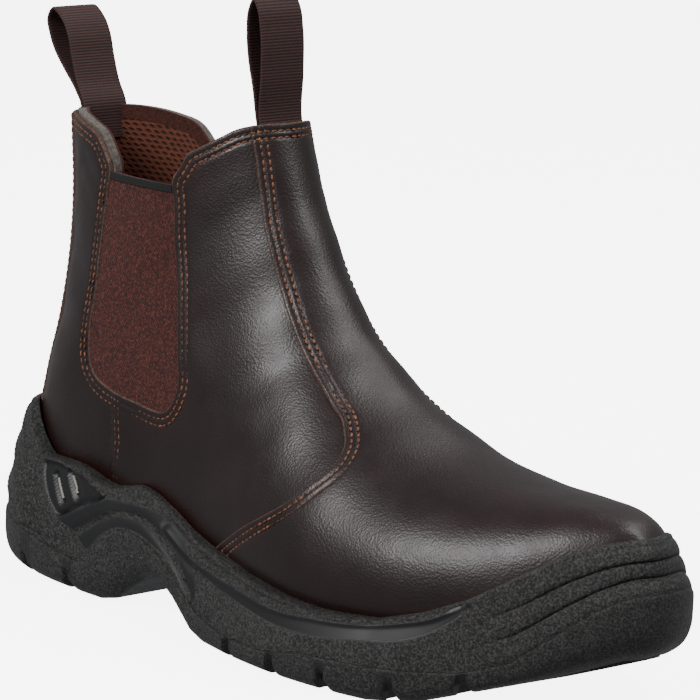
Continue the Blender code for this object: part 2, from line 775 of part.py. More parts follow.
def leather_offset(base, normal, z, start=RAY_START):
    """How far outside the plan outline the leather lies at one height, measured inwards."""
    origin = Vector((base[0] + normal[0] * start, base[1] + normal[1] * start, z))
    hit = LAST_TREE.ray_cast(origin, Vector((-normal[0], -normal[1], 0.0)))
    if hit[0] is None:
        return None
    return start - hit[3]


def off_leather(point, way):
    """The place just off the leather that a ray from the point meets, clear of its facets."""
    hit = LAST_TREE.ray_cast(Vector(point) - way * RAY_BACKSTEP, way)
    outward = hit[1] if hit[1].dot(way) < 0 else -hit[1]
    return np.array(hit[0] + outward * (CLEARANCE + FACET_SAG))


class SoleStations:
    """Places round the plan outline where the sole's side is worked out."""

    def __init__(self):
        lateral = OUTLINE_POINTS[:OUTLINE_TOE + 1]
        medial = np.vstack([OUTLINE_POINTS[OUTLINE_TOE:], OUTLINE_POINTS[:1]])[::-1]
        self.shares = self.choose_shares(lateral)
        lateral = self.on_line(lateral)
        medial = self.on_line(medial)
        self.half = len(self.shares)
        self.base = np.vstack([lateral, medial[1:-1][::-1]])
        self.round = np.concatenate([self.shares, self.shares[1:-1][::-1]])
        self.count = len(self.base)
        ahead = np.roll(self.base, -1, axis=0) - np.roll(self.base, 1, axis=0)
        normals = np.stack([ahead[:, 1], -ahead[:, 0]], axis=1)
        normals = normals / np.linalg.norm(normals, axis=1)[:, None]
        outward = self.base - self.base.mean(axis=0)
        if np.sum(normals * outward) < 0:
            normals = -normals
        self.normals = normals

    def choose_shares(self, line):
        """Shares of the way from heel to toe, with a pair of stations at each groove."""
        along = chord_lengths(line)
        fixed = [0.0, ROUND_END, 1.0 - ROUND_END, 1.0]
        for groove in GROOVES:
            for edge in (-0.5, 0.5):
                x = groove * LAST_LENGTH + edge * GROOVE_WIDTH
                fixed.append(float(np.interp(x, line[:, 0], along)) / along[-1])
        fixed = sorted(fixed)
        shares = []
        for a, b in zip(fixed, fixed[1:]):
            at_end = abs(0.5 * (a + b) - 0.5) > 0.5 - ROUND_END
            steps = math.ceil((b - a) * along[-1] / (END_STEP if at_end else STATION_STEP))
            shares.extend(np.linspace(a, b, steps, endpoint=False))
        return np.array(shares + [1.0])

    def on_line(self, line):
        along = chord_lengths(line) / chord_lengths(line)[-1]
        return np.stack([np.interp(self.shares, along, line[:, k]) for k in (0, 1)], axis=1)

    def partner(self, k):
        """The station on the other side."""
        return (self.count - k) % self.count


STATIONS = SoleStations()


def side_values(k):
    """Heights and widths of the sole's side at one station, in metres."""
    along = STATIONS.base[k, 0] / LAST_LENGTH
    row = {"lip": column(SOLE_SIDE, 1, along) * HEEL_HEIGHT,
           "joint": column(SOLE_SIDE, 2, along) * HEEL_HEIGHT,
           "tread": (column(SOLE_SIDE, 3, along) * HEEL_HEIGHT
                     + column(SOLE_SIDE, 4, along) * TOE_SPRING),
           "lip_out": column(SOLE_SIDE, 5, along) * SOLE_FLARE,
           "joint_out": column(SOLE_SIDE, 6, along) * SOLE_FLARE,
           "tread_out": column(SOLE_SIDE, 7, along) * SOLE_FLARE,
           "bulge": column(SOLE_SIDE, 8, along)}
    share = STATIONS.round[k]
    for place, name in enumerate(("low_line", "high_line", "low_cut", "high_cut", "band_cut"), 1):
        row[name] = column(SIDE_LINES, place, share)
    return row


def side_point(k, out, z):
    base = STATIONS.base[k]
    normal = STATIONS.normals[k]
    return np.array([base[0] + normal[0] * out, base[1] + normal[1] * out, z])


def tread_height(x):
    """Underside of the sole along its length: heel, arch, ball and toe spring."""
    along = x / LAST_LENGTH
    return column(SOLE_SIDE, 3, along) * HEEL_HEIGHT + column(SOLE_SIDE, 4, along) * TOE_SPRING


def groove_height(x):
    """Height of the bottom of the grooves, which get shallower where the sole thins at the toe."""
    roof = float(floor_height(x)) - MIDSOLE_BASE - SEAT_DROP - OUTSOLE_SKIN
    return min(tread_height(x) + LUG_DEPTH, max(roof, tread_height(x) + OUTSOLE_SKIN))


def seat_height(x, joint):
    """Height where midsole and outsole meet inside the sole."""
    thinnest = tread_height(x) + OUTSOLE_BASE
    deepest = float(floor_height(x)) - MIDSOLE_BASE
    return min(max(thinnest, min(joint, deepest)), deepest)


def midsole_side(k):
    """Outer points of the midsole at one station from the joint up to the lip."""
    row = side_values(k)
    low, high = row["low_line"], row["high_line"]
    lines = ((0.0, 0.0), (0.5 * low, 0.0), (low, row["low_cut"]), (0.5 * (low + high), row["band_cut"]),
             (high, row["high_cut"]), (0.5 * (high + 1.0), 0.0), (1.0, 0.0))
    points = []
    for share, cut in lines:
        z = row["joint"] + share * (row["lip"] - row["joint"])
        swell = math.sin(0.5 * math.pi * (1.0 - share)) - (1.0 - share)
        out = row["lip_out"] + (row["joint_out"] - row["lip_out"]) * (1.0 - share + row["bulge"] * swell)
        leather = leather_offset(STATIONS.base[k], STATIONS.normals[k], z)
        if leather is not None:
            out = max(out, leather + LIP_WALL + RIB_DEPTH * max(cut, 0.0))
        points.append(side_point(k, out - RIB_DEPTH * cut, z))
    return points


def cup_wall(k, lip_point):
    """Inner points of the midsole at one station from the lip down to the floor."""
    base = STATIONS.base[k]
    normal = STATIONS.normals[k]
    aim = np.array([base[0] - normal[0] * RAY_START, base[1] - normal[1] * RAY_START, 0.0])
    height = max(lip_point[2] / HEEL_HEIGHT - LIP_DIP_FROM, 0.0)
    aim[2] = lip_point[2] - LIP_DIP * height * RAY_START
    first = off_leather(lip_point, Vector(aim - lip_point).normalized())
    points = [first]
    floor = float(floor_height(base[0] - normal[0] * WALL_FOOT_IN))
    level = Vector((-normal[0], -normal[1], 0.0))
    for share in CUP_ROWS:
        start = side_point(k, RAY_START, first[2] + share * (floor - first[2]))
        points.append(off_leather(start, level))
    leather = leather_offset(base, normal, floor + CUP_CORNER)
    foot = side_point(k, leather + CLEARANCE + FACET_SAG, 0.0)
    foot[2] = float(floor_height(foot[0]))
    points.append(foot)
    return points


def ring_faces(rows, count):
    """Quads between closed rings of points, each ring given by its first index."""
    faces = []
    for lower, upper in zip(rows, rows[1:]):
        for k in range(count):
            n = (k + 1) % count
            faces.append([lower + k, lower + n, upper + n, upper + k])
    return faces


def strip_faces(ring):
    """Quads across a closed ring, joining each side station to its partner."""
    faces = []
    for k in range(STATIONS.half - 1):
        corners = [ring + k, ring + k + 1, ring + STATIONS.partner(k + 1), ring + STATIONS.partner(k)]
        faces.append(list(dict.fromkeys(corners)))
    return faces


def build_midsole(materials):
    """The cup that holds the upper: side with its ribs and bands, lip, inner wall and floor."""
    count = STATIONS.count
    columns = []
    for k in range(count):
        side = midsole_side(k)
        row = side_values(k)
        inner = row["joint_out"] - OUTSOLE_RIM
        seat = side_point(k, inner, 0.0)
        seat[2] = seat_height(seat[0], row["joint"])
        lip_top = side[-1] + (0.0, 0.0, LIP_ROUND)
        columns.append([seat] + side + cup_wall(k, lip_top))
    levels = len(columns[0])
    vertices = np.array([columns[k][level] for level in range(levels) for k in range(count)])
    rings = [level * count for level in range(levels)]
    polygons = ring_faces(rings, count) + strip_faces(rings[0]) + strip_faces(rings[-1])
    add_object("midsole", vertices, polygons, materials["midsole"])


def build_outsole(materials):
    """Tread with lugs cut by cross grooves and two long channels, arch, toe spring and rim."""
    count = STATIONS.count
    half = STATIONS.half
    columns = []
    for k in range(count):
        row = side_values(k)
        out = row["joint_out"]
        seat = side_point(k, out - OUTSOLE_RIM + CLEARANCE, 0.0)
        seat[2] = seat_height(seat[0], row["joint"]) - SEAT_DROP
        top = side_point(k, out + OUTSOLE_PROUD, row["joint"] - CLEARANCE)
        tread = side_point(k, row["tread_out"], 0.0)
        tread[2] = tread_height(tread[0])
        shoulder_out = row["tread_out"] + SHOULDER_SHARE * (out - row["tread_out"])
        shoulder = side_point(k, shoulder_out, groove_height(tread[0]))
        middle = side_point(k, out + OUTSOLE_PROUD, shoulder[2] + SIDE_KNEE * (top[2] - shoulder[2]))
        columns.append([seat, top, middle, shoulder])
    levels = len(columns[0])
    vertices = [columns[k][level] for level in range(levels) for k in range(count)]
    rings = [level * count for level in range(levels)]
    polygons = ring_faces(rings, count) + strip_faces(rings[0])
    shoulder_ring = rings[-1]

    groove_cells = set()
    for groove in GROOVES:
        middle = groove * LAST_LENGTH
        gaps = [abs(0.5 * (STATIONS.base[k, 0] + STATIONS.base[k + 1, 0]) - middle)
                for k in range(half - 1)]
        groove_cells.add(int(np.argmin(gaps)))

    def crossing(k):
        """Points across the tread at one pair of stations: edges and both channels' walls."""
        near = vertices[shoulder_ring + k]
        far = vertices[shoulder_ring + STATIONS.partner(k)]
        width = float(np.linalg.norm(far - near))
        half_channel = 0.5 * CHANNEL_WIDTH / width
        left, right = CHANNEL_SHARES
        return near, far, [0.0, left - half_channel, left + half_channel, right - half_channel,
                           right + half_channel, 1.0]

    index_of = {}

    def vertex(k, place, deep):
        """Vertex of the tread at a station pair: deep ones lie in the grooves."""
        near, far, shares = crossing(k)
        if deep and place == 0:
            return shoulder_ring + k
        if deep and place == 5:
            return shoulder_ring + STATIONS.partner(k)
        key = (k, place, deep)
        if key not in index_of:
            if place == 0:
                point = side_point(k, side_values(k)["tread_out"], 0.0)
            elif place == 5:
                point = side_point(STATIONS.partner(k), side_values(k)["tread_out"], 0.0)
            else:
                point = near + (far - near) * shares[place]
            point = np.array(point)
            point[2] = groove_height(point[0]) if deep else tread_height(point[0])
            index_of[key] = len(vertices)
            vertices.append(point)
        return index_of[key]

    cells = {}
    for k in range(1, half - 2):
        x = 0.5 * (STATIONS.base[k, 0] + STATIONS.base[k + 1, 0])
        in_arch = ARCH_LIFT < tread_height(x) / LUG_DEPTH and x < 0.5 * LAST_LENGTH
        at_end = k in (1, half - 3)
        for place in range(5):
            channel = place in (1, 3) and not in_arch and not at_end
            cells[(k, place)] = channel or k in groove_cells
    for (k, place), deep in cells.items():
        polygons.append([vertex(k, place, deep), vertex(k + 1, place, deep),
                         vertex(k + 1, place + 1, deep), vertex(k, place + 1, deep)])
        if not deep and place == 0:
            polygons.append([vertex(k, 0, True), vertex(k + 1, 0, True), vertex(k + 1, 0, False),
                             vertex(k, 0, False)])
        if not deep and place == 4:
            polygons.append([vertex(k, 5, True), vertex(k + 1, 5, True), vertex(k + 1, 5, False),
                             vertex(k, 5, False)])
        right = cells.get((k, place + 1))
        if right is not None and right != deep:
            polygons.append([vertex(k, place + 1, True), vertex(k + 1, place + 1, True),
                             vertex(k + 1, place + 1, False), vertex(k, place + 1, False)])
        ahead = cells.get((k + 1, place))
        if ahead is not None and ahead != deep:
            polygons.append([vertex(k + 1, place, True), vertex(k + 1, place + 1, True),
                             vertex(k + 1, place + 1, False), vertex(k + 1, place, False)])

    for k, tip in ((1, 0), (half - 2, half - 1)):
        edge = [vertex(k, place, False) for place in range(6)]
        point = side_point(tip, side_values(tip)["tread_out"], 0.0)
        point[2] = tread_height(point[0])
        tip_tread = len(vertices)
        vertices.append(point)
        polygons.append(edge + [tip_tread])
        near = shoulder_ring + k
        far = shoulder_ring + STATIONS.partner(k)
        polygons.append([near, shoulder_ring + tip, tip_tread, edge[0]])
        polygons.append([far, shoulder_ring + tip, tip_tread, edge[5]])
    add_object("outsole", np.array(vertices), polygons, materials["outsole"])


def build_insole(materials):
    """The flat footbed inside the upper, on the midsole's floor."""
    count = STATIONS.count
    inner_depth = OVERLAY_STEP + UPPER_WALL
    columns = []
    for k in range(count):
        base = STATIONS.base[k]
        normal = STATIONS.normals[k]
        floor = float(floor_height(base[0] - normal[0] * INSOLE_EDGE_IN))
        leather = leather_offset(base, normal, floor + CLEARANCE)
        out = leather - inner_depth - INSOLE_MARGIN
        column_points = []
        for lift in (CLEARANCE, CLEARANCE + INSOLE_THICKNESS):
            point = side_point(k, out, 0.0)
            point[2] = float(floor_height(point[0])) + lift
            column_points.append(point)
        columns.append(column_points)
    vertices = np.array([columns[k][level] for level in (0, 1) for k in range(count)])
    polygons = ring_faces([0, count], count) + strip_faces(0) + strip_faces(count)
    add_object("insole", vertices, polygons, materials["insole"])


def wall_inside(x_start, direction, y, z):
    """Where a level ray from inside the shaft meets the inner side of the upper."""
    hit = LAST_TREE.ray_cast(Vector((x_start, y, z)), Vector((direction, 0.0, 0.0)))
    slant = max(abs(hit[1].x), LEAST_SLANT)
    return hit[0].x - direction * (OVERLAY_STEP + UPPER_WALL) / slant


def build_loop(materials, name, route, direction, top, rise):
    """A folded webbing loop: both legs go down behind the leather, inside the upper's wall."""
    edge = 0.5 * WEBBING_WIDTH
    half = 0.5 * WEBBING_THICKNESS
    middle_x = SHAFT_MIDDLE * LAST_LENGTH
    step_in = direction * (CLEARANCE + FACET_SAG + half)
    upper_end = wall_inside(middle_x, direction, edge, top) - step_in
    lower_end = wall_inside(middle_x, direction, edge, top - LOOP_TAIL) - step_in
    if direction * (lower_end - upper_end) > 0:
        lower_end = upper_end + 0.5 * (lower_end - upper_end)
    gap = direction * (WEBBING_THICKNESS + CLEARANCE)
    tail = [(lower_end, top - LOOP_TAIL), (0.5 * (lower_end + upper_end), top - 0.5 * LOOP_TAIL),
            (upper_end, top)]
    feet = list(tail)
    others = [(x - gap, z) for x, z in tail]
    if direction < 0:
        feet, others = others, feet
    body = [(feet[-1][0] + ahead * rise, top + up * rise) for ahead, up in route[1:]]
    points = np.array(feet + body + others[::-1])
    lengths = chord_lengths(points)
    centre = spline(lengths, points, np.linspace(0.0, lengths[-1], LOOP_STEPS))
    ahead = np.gradient(centre, axis=0)
    normals = np.stack([ahead[:, 1], -ahead[:, 0]], axis=1)
    normals = normals / np.linalg.norm(normals, axis=1)[:, None] * half
    vertices = []
    for (x, z), (nx, nz) in zip(centre, normals):
        for sign, y in ((1, -edge), (1, edge), (-1, edge), (-1, -edge)):
            vertices.append((x + sign * nx, y, z + sign * nz))
    polygons = ring_faces([4 * k for k in range(LOOP_STEPS)], 4)
    last = 4 * (LOOP_STEPS - 1)
    polygons += [[0, 1, 2, 3], [last, last + 1, last + 2, last + 3]]
    add_object(name, np.array(vertices), polygons, materials["webbing"])


def stand_on_origin():
    """Move the boot so that the middle of its bounding box's bottom is the origin."""
    pieces = [item for item in bpy.data.objects if item.type == "MESH"]
    corners = np.array([v.co for item in pieces for v in item.data.vertices])
    low, high = corners.min(axis=0), corners.max(axis=0)
    shift = Vector((-(low[0] + high[0]) / 2, -(low[1] + high[1]) / 2, -low[2]))
    for item in pieces:
        for vertex in item.data.vertices:
            vertex.co += shift


def main():
    for item in list(bpy.data.objects):
        bpy.data.objects.remove(item, do_unlink=True)
    materials = make_materials()
    build_outsole(materials)
    build_midsole(materials)
    build_upper(materials)
    build_insole(materials)
    build_loop(materials, "pull_loop_front", FRONT_LOOP, 1, SHAFT_HEIGHT, FRONT_LOOP_RISE)
    build_loop(materials, "pull_loop_back", BACK_LOOP, -1, BACK_RIM * SHAFT_HEIGHT,
               BACK_LOOP_RISE)
    stand_on_origin()


main()
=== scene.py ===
"""Looks of a right side gore work boot: leather upper, elastic gores, webbing loops and rubber sole.

Laid out as a Blender add-on and run as a script. Every surface is worked out again, finely, from the
sizes and sections of the boot's last, in metres, and stands in for the plain solid of the same piece.
"""
import math

import bmesh
import bpy
import numpy as np
from mathutils import Matrix, Vector
from mathutils.bvhtree import BVHTree


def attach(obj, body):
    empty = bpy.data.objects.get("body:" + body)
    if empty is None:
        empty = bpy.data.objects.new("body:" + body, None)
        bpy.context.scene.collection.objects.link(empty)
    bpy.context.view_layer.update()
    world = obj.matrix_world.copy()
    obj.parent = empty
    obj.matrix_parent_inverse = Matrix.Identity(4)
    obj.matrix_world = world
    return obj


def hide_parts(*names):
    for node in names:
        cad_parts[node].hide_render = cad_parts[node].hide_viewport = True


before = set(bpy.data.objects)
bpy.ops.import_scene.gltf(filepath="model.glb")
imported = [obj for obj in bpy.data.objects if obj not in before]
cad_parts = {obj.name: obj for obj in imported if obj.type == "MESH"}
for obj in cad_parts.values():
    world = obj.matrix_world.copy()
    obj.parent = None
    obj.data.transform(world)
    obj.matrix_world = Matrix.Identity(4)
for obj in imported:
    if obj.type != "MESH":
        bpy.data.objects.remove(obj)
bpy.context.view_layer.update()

bl_info = {
    "name": "Side Gore Work Boot",
    "version": (1, 0, 0),
    "blender": (4, 5, 0),
    "location": "3D View > Sidebar > Boot",
    "description": "Builds the leather, elastic, webbing and rubber of a side gore work boot",
    "category": "Object",
}

MM = 0.001

# The boot's sizes
LAST_LENGTH = 0.2905
BALL_WIDTH = 0.0955
INSTEP_HEIGHT = 0.111
SHAFT_HEIGHT = 0.1715
HEEL_HEIGHT = 0.030
BALL_HEIGHT = 0.020
TOE_SPRING = 0.0275
UPPER_WALL = 0.0016
OVERLAY_STEP = 0.0012
CLEARANCE = 0.0003
GORE_TOP = 0.868 * SHAFT_HEIGHT
STAY_EDGE = 0.86
SOLE_FLARE = 0.0116
LIP_WALL = 0.0018
OUTSOLE_PROUD = 0.0007
OUTSOLE_RIM = 0.006
LUG_DEPTH = 0.004
GROOVE_WIDTH = 0.0045
CHANNEL_SHARES = (0.3, 0.7)
# Where the last's own zero, at the back of the heel, lies in the model
LAST_AT = np.array((-0.14209, 0.00130, 0.0))

# How finely the last is sampled, and how finely the leather and the sole are meshed
FINE_PER_SECTION = 12
FINE_PER_SIDE = 90
LEATHER_GRAIN = 1.9 * MM
LEATHER_ROUND = 72
SOLE_STEP = 0.95 * MM

# Plan outline of the leather at its widest, from the heel back round the lateral side to the toe
# and home along the medial side: along = share of LAST_LENGTH, side = share of BALL_WIDTH
OUTLINE = (
    # along, side
    (0.000, 0.000),
    (0.008, -0.115),
    (0.028, -0.215),
    (0.069, -0.298),
    (0.131, -0.346),
    (0.203, -0.367),
    (0.286, -0.377),
    (0.368, -0.403),
    (0.451, -0.445),
    (0.534, -0.492),
    (0.620, -0.513),
    (0.706, -0.490),
    (0.788, -0.424),
    (0.864, -0.325),
    (0.929, -0.204),
    (0.978, -0.073),
    (1.000, 0.052),
    (0.991, 0.178),
    (0.957, 0.304),
    (0.902, 0.403),
    (0.830, 0.466),
    (0.747, 0.487),
    (0.658, 0.466),
    (0.561, 0.414),
    (0.465, 0.367),
    (0.368, 0.340),
    (0.279, 0.340),
    (0.196, 0.346),
    (0.124, 0.335),
    (0.060, 0.283),
    (0.024, 0.209),
    (0.006, 0.110),
)
TOE_POINT = 16

# Height of the floor under the foot: shares of HEEL_HEIGHT, BALL_HEIGHT and TOE_SPRING added up
FLOOR = (
    # along, heel, ball, spring
    (0.000, 1.000, 0.000, 0.00),
    (0.080, 1.000, 0.000, 0.00),
    (0.220, 0.980, 0.000, 0.00),
    (0.320, 0.700, 0.350, 0.00),
    (0.420, 0.300, 0.800, 0.00),
    (0.530, 0.060, 1.010, 0.00),
    (0.630, 0.000, 1.015, 0.00),
    (0.730, 0.000, 1.000, 0.00),
    (0.840, 0.000, 1.000, 0.07),
    (0.910, 0.000, 1.000, 0.17),
    (0.975, 0.000, 1.000, 0.30),
    (1.000, 0.000, 1.000, 0.36),
)

# Cross sections of the last from the toe to the collar, from the ridge on top of the foot to the
# line under it or up the heel.
# top: share of INSTEP_HEIGHT up to 1, then of the way from INSTEP_HEIGHT to SHAFT_HEIGHT
# low: share of SHAFT_HEIGHT - HEEL_HEIGHT above the floor
# width: share of the plan outline, widest: where on the section it is widest, from its low end
# round_top, round_low, curl: exponents of the curves, ridge: share of BALL_WIDTH
SECTIONS = (
    # top_along, top, low_along, low, width, widest, round_top, round_low, curl, ridge
    (0.9997, 0.462, 0.9997, 0.099, 1.00, 0.40, 0.90, 0.60, 0.80, 0.052),
    (0.9948, 0.532, 0.9948, 0.042, 1.00, 0.40, 0.85, 0.50, 0.80, 0.052),
    (0.9776, 0.590, 0.9776, -0.006, 1.00, 0.38, 0.80, 0.45, 0.80, 0.052),
    (0.9398, 0.616, 0.9398, -0.016, 1.00, 0.36, 0.78, 0.40, 0.80, 0.052),
    (0.8709, 0.622, 0.8709, -0.014, 1.00, 0.34, 0.82, 0.40, 0.80, 0.052),
    (0.7849, 0.630, 0.7849, -0.018, 1.00, 0.32, 0.90, 0.40, 0.80, 0.047),
    (0.6988, 0.676, 0.6988, -0.021, 1.00, 0.30, 0.98, 0.40, 0.80, 0.042),
    (0.6196, 0.761, 0.6196, -0.031, 1.00, 0.28, 1.05, 0.40, 0.80, 0.037),
    (0.5542, 0.874, 0.5129, -0.031, 1.00, 0.27, 1.10, 0.40, 0.80, 0.031),
    (0.5073, 1.000, 0.3993, -0.033, 1.00, 0.27, 1.10, 0.40, 0.80, 0.021),
    (0.4742, 1.231, 0.2857, -0.033, 1.00, 0.30, 1.03, 0.40, 0.80, 0.010),
    (0.4483, 1.430, 0.1687, -0.027, 1.00, 0.33, 0.95, 0.45, 0.80, 0.005),
    (0.4294, 1.595, 0.0620, -0.015, 1.00, 0.37, 0.90, 0.50, 0.85, 0.000),
    (0.4174, 1.727, 0.0000, 0.099, 0.97, 0.41, 0.88, 0.70, 0.90, 0.000),
    (0.4094, 1.818, 0.0000, 0.233, 0.93, 0.45, 0.87, 0.80, 0.95, 0.000),
    (0.4026, 1.901, 0.0155, 0.403, 0.88, 0.48, 0.87, 0.85, 1.00, 0.000),
    (0.3977, 1.967, 0.0258, 0.580, 0.85, 0.50, 0.88, 0.88, 1.00, 0.000),
    (0.3940, 2.033, 0.0258, 0.749, 0.83, 0.50, 0.90, 0.90, 1.00, 0.000),
    (0.3909, 2.099, 0.0172, 0.905, 0.82, 0.50, 0.92, 0.92, 1.00, 0.000),
    (0.3881, 2.174, 0.0120, 1.032, 0.82, 0.50, 0.92, 0.92, 1.00, 0.000),
)

# Opening of one side in side view: the collar's rear slope, round the gore, the front shoulder and
# the top of the front tab: along = share of LAST_LENGTH, up = share of SHAFT_HEIGHT
OPENING = (
    # along, up
    (-0.084, 0.950),
    (-0.004, 0.952),
    (0.056, 0.955),
    (0.108, 0.946),
    (0.138, 0.934),
    (0.159, 0.902),
    (0.170, 0.881),
    (0.168, 0.825),
    (0.164, 0.753),
    (0.162, 0.680),
    (0.162, 0.608),
    (0.160, 0.537),
    (0.161, 0.497),
    (0.170, 0.462),
    (0.192, 0.439),
    (0.225, 0.427),
    (0.267, 0.419),
    (0.298, 0.413),
    (0.317, 0.417),
    (0.330, 0.450),
    (0.334, 0.480),
    (0.328, 0.525),
    (0.319, 0.594),
    (0.309, 0.672),
    (0.297, 0.748),
    (0.291, 0.825),
    (0.286, 0.887),
    (0.296, 0.910),
    (0.302, 0.935),
    (0.315, 0.949),
    (0.342, 0.977),
    (0.365, 1.001),
    (0.382, 1.009),
    (0.434, 1.012),
)
OPENING_LID = 0.35
OPENING_POINTS = 220

# Edge of the vamp over the quarters: section = row of SECTIONS, girth = share of the way from the
# ridge to the low line
VAMP_EDGE = (
    # section, girth
    (19.50, 0.120),
    (16.80, 0.114),
    (14.50, 0.095),
    (12.76, 0.091),
    (11.80, 0.100),
    (10.70, 0.122),
    (9.60, 0.147),
    (8.80, 0.162),
    (8.00, 0.175),
    (7.72, 0.182),
    (7.53, 0.184),
    (7.28, 0.209),
    (7.10, 0.240),
    (7.03, 0.280),
    (7.18, 0.345),
    (7.47, 0.423),
    (7.81, 0.486),
    (8.23, 0.564),
    (8.53, 0.630),
    (8.88, 0.720),
)
QUARTER_FAR = ((8.88, 1.60), (20.50, 1.60), (20.50, 0.120))
VAMP_EDGE_POINTS = 160
# Girth times this is drawn to the same scale as the section numbers
GIRTH_PER_SECTION = 6.0
# How much nearer to the ridge the vamp's edge runs on the medial side, in girth: below 0 it is further
MEDIAL_SHIFT = -0.012

# The sole's side along its length. lip, joint and tread are shares of HEEL_HEIGHT, tread also of
# TOE_SPRING. The three outs are shares of SOLE_FLARE outside the leather.
SOLE_SIDE = (
    # along, lip, joint, tread, spring, lip_out, joint_out, tread_out, bulge
    (-0.05, 1.93, 0.65, 0.00, 0.00, 0.37, 1.00, 0.47, 1.0),
    (0.010, 1.93, 0.65, 0.00, 0.00, 0.37, 1.00, 0.47, 1.0),
    (0.040, 1.93, 0.64, 0.00, 0.00, 0.37, 1.00, 0.47, 1.0),
    (0.070, 1.58, 0.59, 0.00, 0.00, 0.37, 0.96, 0.44, 1.0),
    (0.095, 1.40, 0.54, 0.00, 0.00, 0.34, 0.92, 0.42, 1.0),
    (0.135, 1.43, 0.49, 0.00, 0.00, 0.30, 0.86, 0.40, 0.9),
    (0.170, 1.43, 0.44, 0.00, 0.00, 0.28, 0.80, 0.38, 0.8),
    (0.210, 1.33, 0.39, 0.00, 0.00, 0.27, 0.76, 0.36, 0.7),
    (0.235, 1.30, 0.62, 0.00, 0.00, 0.26, 0.73, 0.35, 0.6),
    (0.262, 1.36, 0.88, 0.06, 0.00, 0.26, 0.71, 0.35, 0.6),
    (0.290, 1.43, 0.97, 0.25, 0.00, 0.26, 0.70, 0.35, 0.6),
    (0.322, 1.39, 0.95, 0.43, 0.00, 0.25, 0.69, 0.35, 0.6),
    (0.365, 1.26, 0.84, 0.48, 0.00, 0.24, 0.69, 0.35, 0.6),
    (0.400, 1.12, 0.66, 0.33, 0.00, 0.23, 0.69, 0.35, 0.6),
    (0.440, 1.02, 0.45, 0.05, 0.00, 0.22, 0.69, 0.35, 0.6),
    (0.465, 0.99, 0.33, 0.00, 0.00, 0.21, 0.69, 0.35, 0.6),
    (0.520, 0.90, 0.25, 0.00, 0.00, 0.20, 0.69, 0.35, 0.6),
    (0.590, 0.82, 0.25, 0.00, 0.00, 0.20, 0.69, 0.35, 0.6),
    (0.660, 0.79, 0.38, 0.00, 0.00, 0.20, 0.69, 0.35, 0.6),
    (0.740, 0.85, 0.41, 0.00, 0.00, 0.20, 0.68, 0.34, 0.6),
    (0.800, 1.03, 0.45, 0.00, 0.09, 0.20, 0.66, 0.28, 0.5),
    (0.850, 1.26, 0.52, 0.00, 0.27, 0.20, 0.62, 0.15, 0.4),
    (0.900, 1.58, 0.71, 0.00, 0.44, 0.12, 0.57, -0.05, 0.3),
    (0.940, 1.84, 1.08, 0.00, 0.58, -0.02, 0.52, -0.20, 0.3),
    (0.970, 1.97, 1.36, 0.00, 0.70, -0.24, 0.48, -0.34, 0.3),
    (0.990, 2.03, 1.51, 0.00, 0.78, -0.50, 0.46, -0.42, 0.3),
    (1.050, 2.05, 1.60, 0.00, 0.82, -0.66, 0.46, -0.46, 0.3),
)
GROOVES = (0.062, 0.156, 0.508, 0.592, 0.687, 0.773, 0.851)

# Pull loops in side view: forward = share of the loop's rise ahead of its foot, up = share of it
FRONT_LOOP = (
    # forward, up
    (0.000, 0.000),
    (-0.004, 0.380),
    (-0.030, 0.740),
    (-0.080, 0.920),
    (-0.135, 0.985),
    (-0.185, 0.900),
    (-0.196, 0.700),
    (-0.170, 0.520),
    (-0.095, 0.250),
)
BACK_LOOP = (
    # forward, up
    (0.000, 0.000),
    (-0.136, 0.240),
    (-0.235, 0.500),
    (-0.303, 0.710),
    (-0.417, 0.880),
    (-0.597, 0.975),
    (-0.666, 0.870),
    (-0.623, 0.710),
    (-0.542, 0.560),
    (-0.382, 0.380),
    (-0.169, 0.170),
)


# Curves and tables

def spline(knots, values, at):
    """Smooth curve through the values at uneven knots, read at the given places."""
    knots = np.asarray(knots, float)
    values = np.asarray(values, float).reshape(len(knots), -1)
    at = np.clip(np.asarray(at, float), knots[0], knots[-1])
    span = np.diff(knots)
    slope = np.diff(values, axis=0) / span[:, None]
    weight = span[1:] + span[:-1]
    tangent = np.empty_like(values)
    tangent[1:-1] = (slope[:-1] * span[1:, None] + slope[1:] * span[:-1, None]) / weight[:, None]
    tangent[0] = 1.5 * slope[0] - 0.5 * tangent[1]
    tangent[-1] = 1.5 * slope[-1] - 0.5 * tangent[-2]
    cell = np.clip(np.searchsorted(knots, at, side="right") - 1, 0, len(span) - 1)
    t = ((at - knots[cell]) / span[cell])[..., None]
    reach = span[cell][..., None]
    start = (1 + 2 * t) * (1 - t) ** 2 * values[cell] + t * (1 - t) ** 2 * reach * tangent[cell]
    end = t * t * (3 - 2 * t) * values[cell + 1] + t * t * (t - 1) * reach * tangent[cell + 1]
    return start + end


def column(table, place, at, index=0):
    """One column of a table, joined by straight lines and read by another column."""
    rows = np.asarray(table, float)
    return np.interp(at, rows[:, index], rows[:, place])


def chord_lengths(points):
    """Distance along a row of points, from 0."""
    steps = np.linalg.norm(np.diff(points, axis=0), axis=1)
    return np.concatenate([[0.0], np.cumsum(steps)])


def resample(points, count):
    """The same line with evenly spaced points."""
    along = chord_lengths(points)
    places = np.linspace(0.0, along[-1], count)
    return np.stack([np.interp(places, along, points[:, k]) for k in range(points.shape[1])], axis=1)


def smooth_line(rows, count):
    """A smooth open line through the rows, as evenly spaced points."""
    knots = chord_lengths(rows)
    return spline(knots, rows, np.linspace(0.0, knots[-1], count))


def mound(gap, half):
    """1 at no gap, falling softly to a third at half."""
    return np.exp(-(gap / half) ** 2)


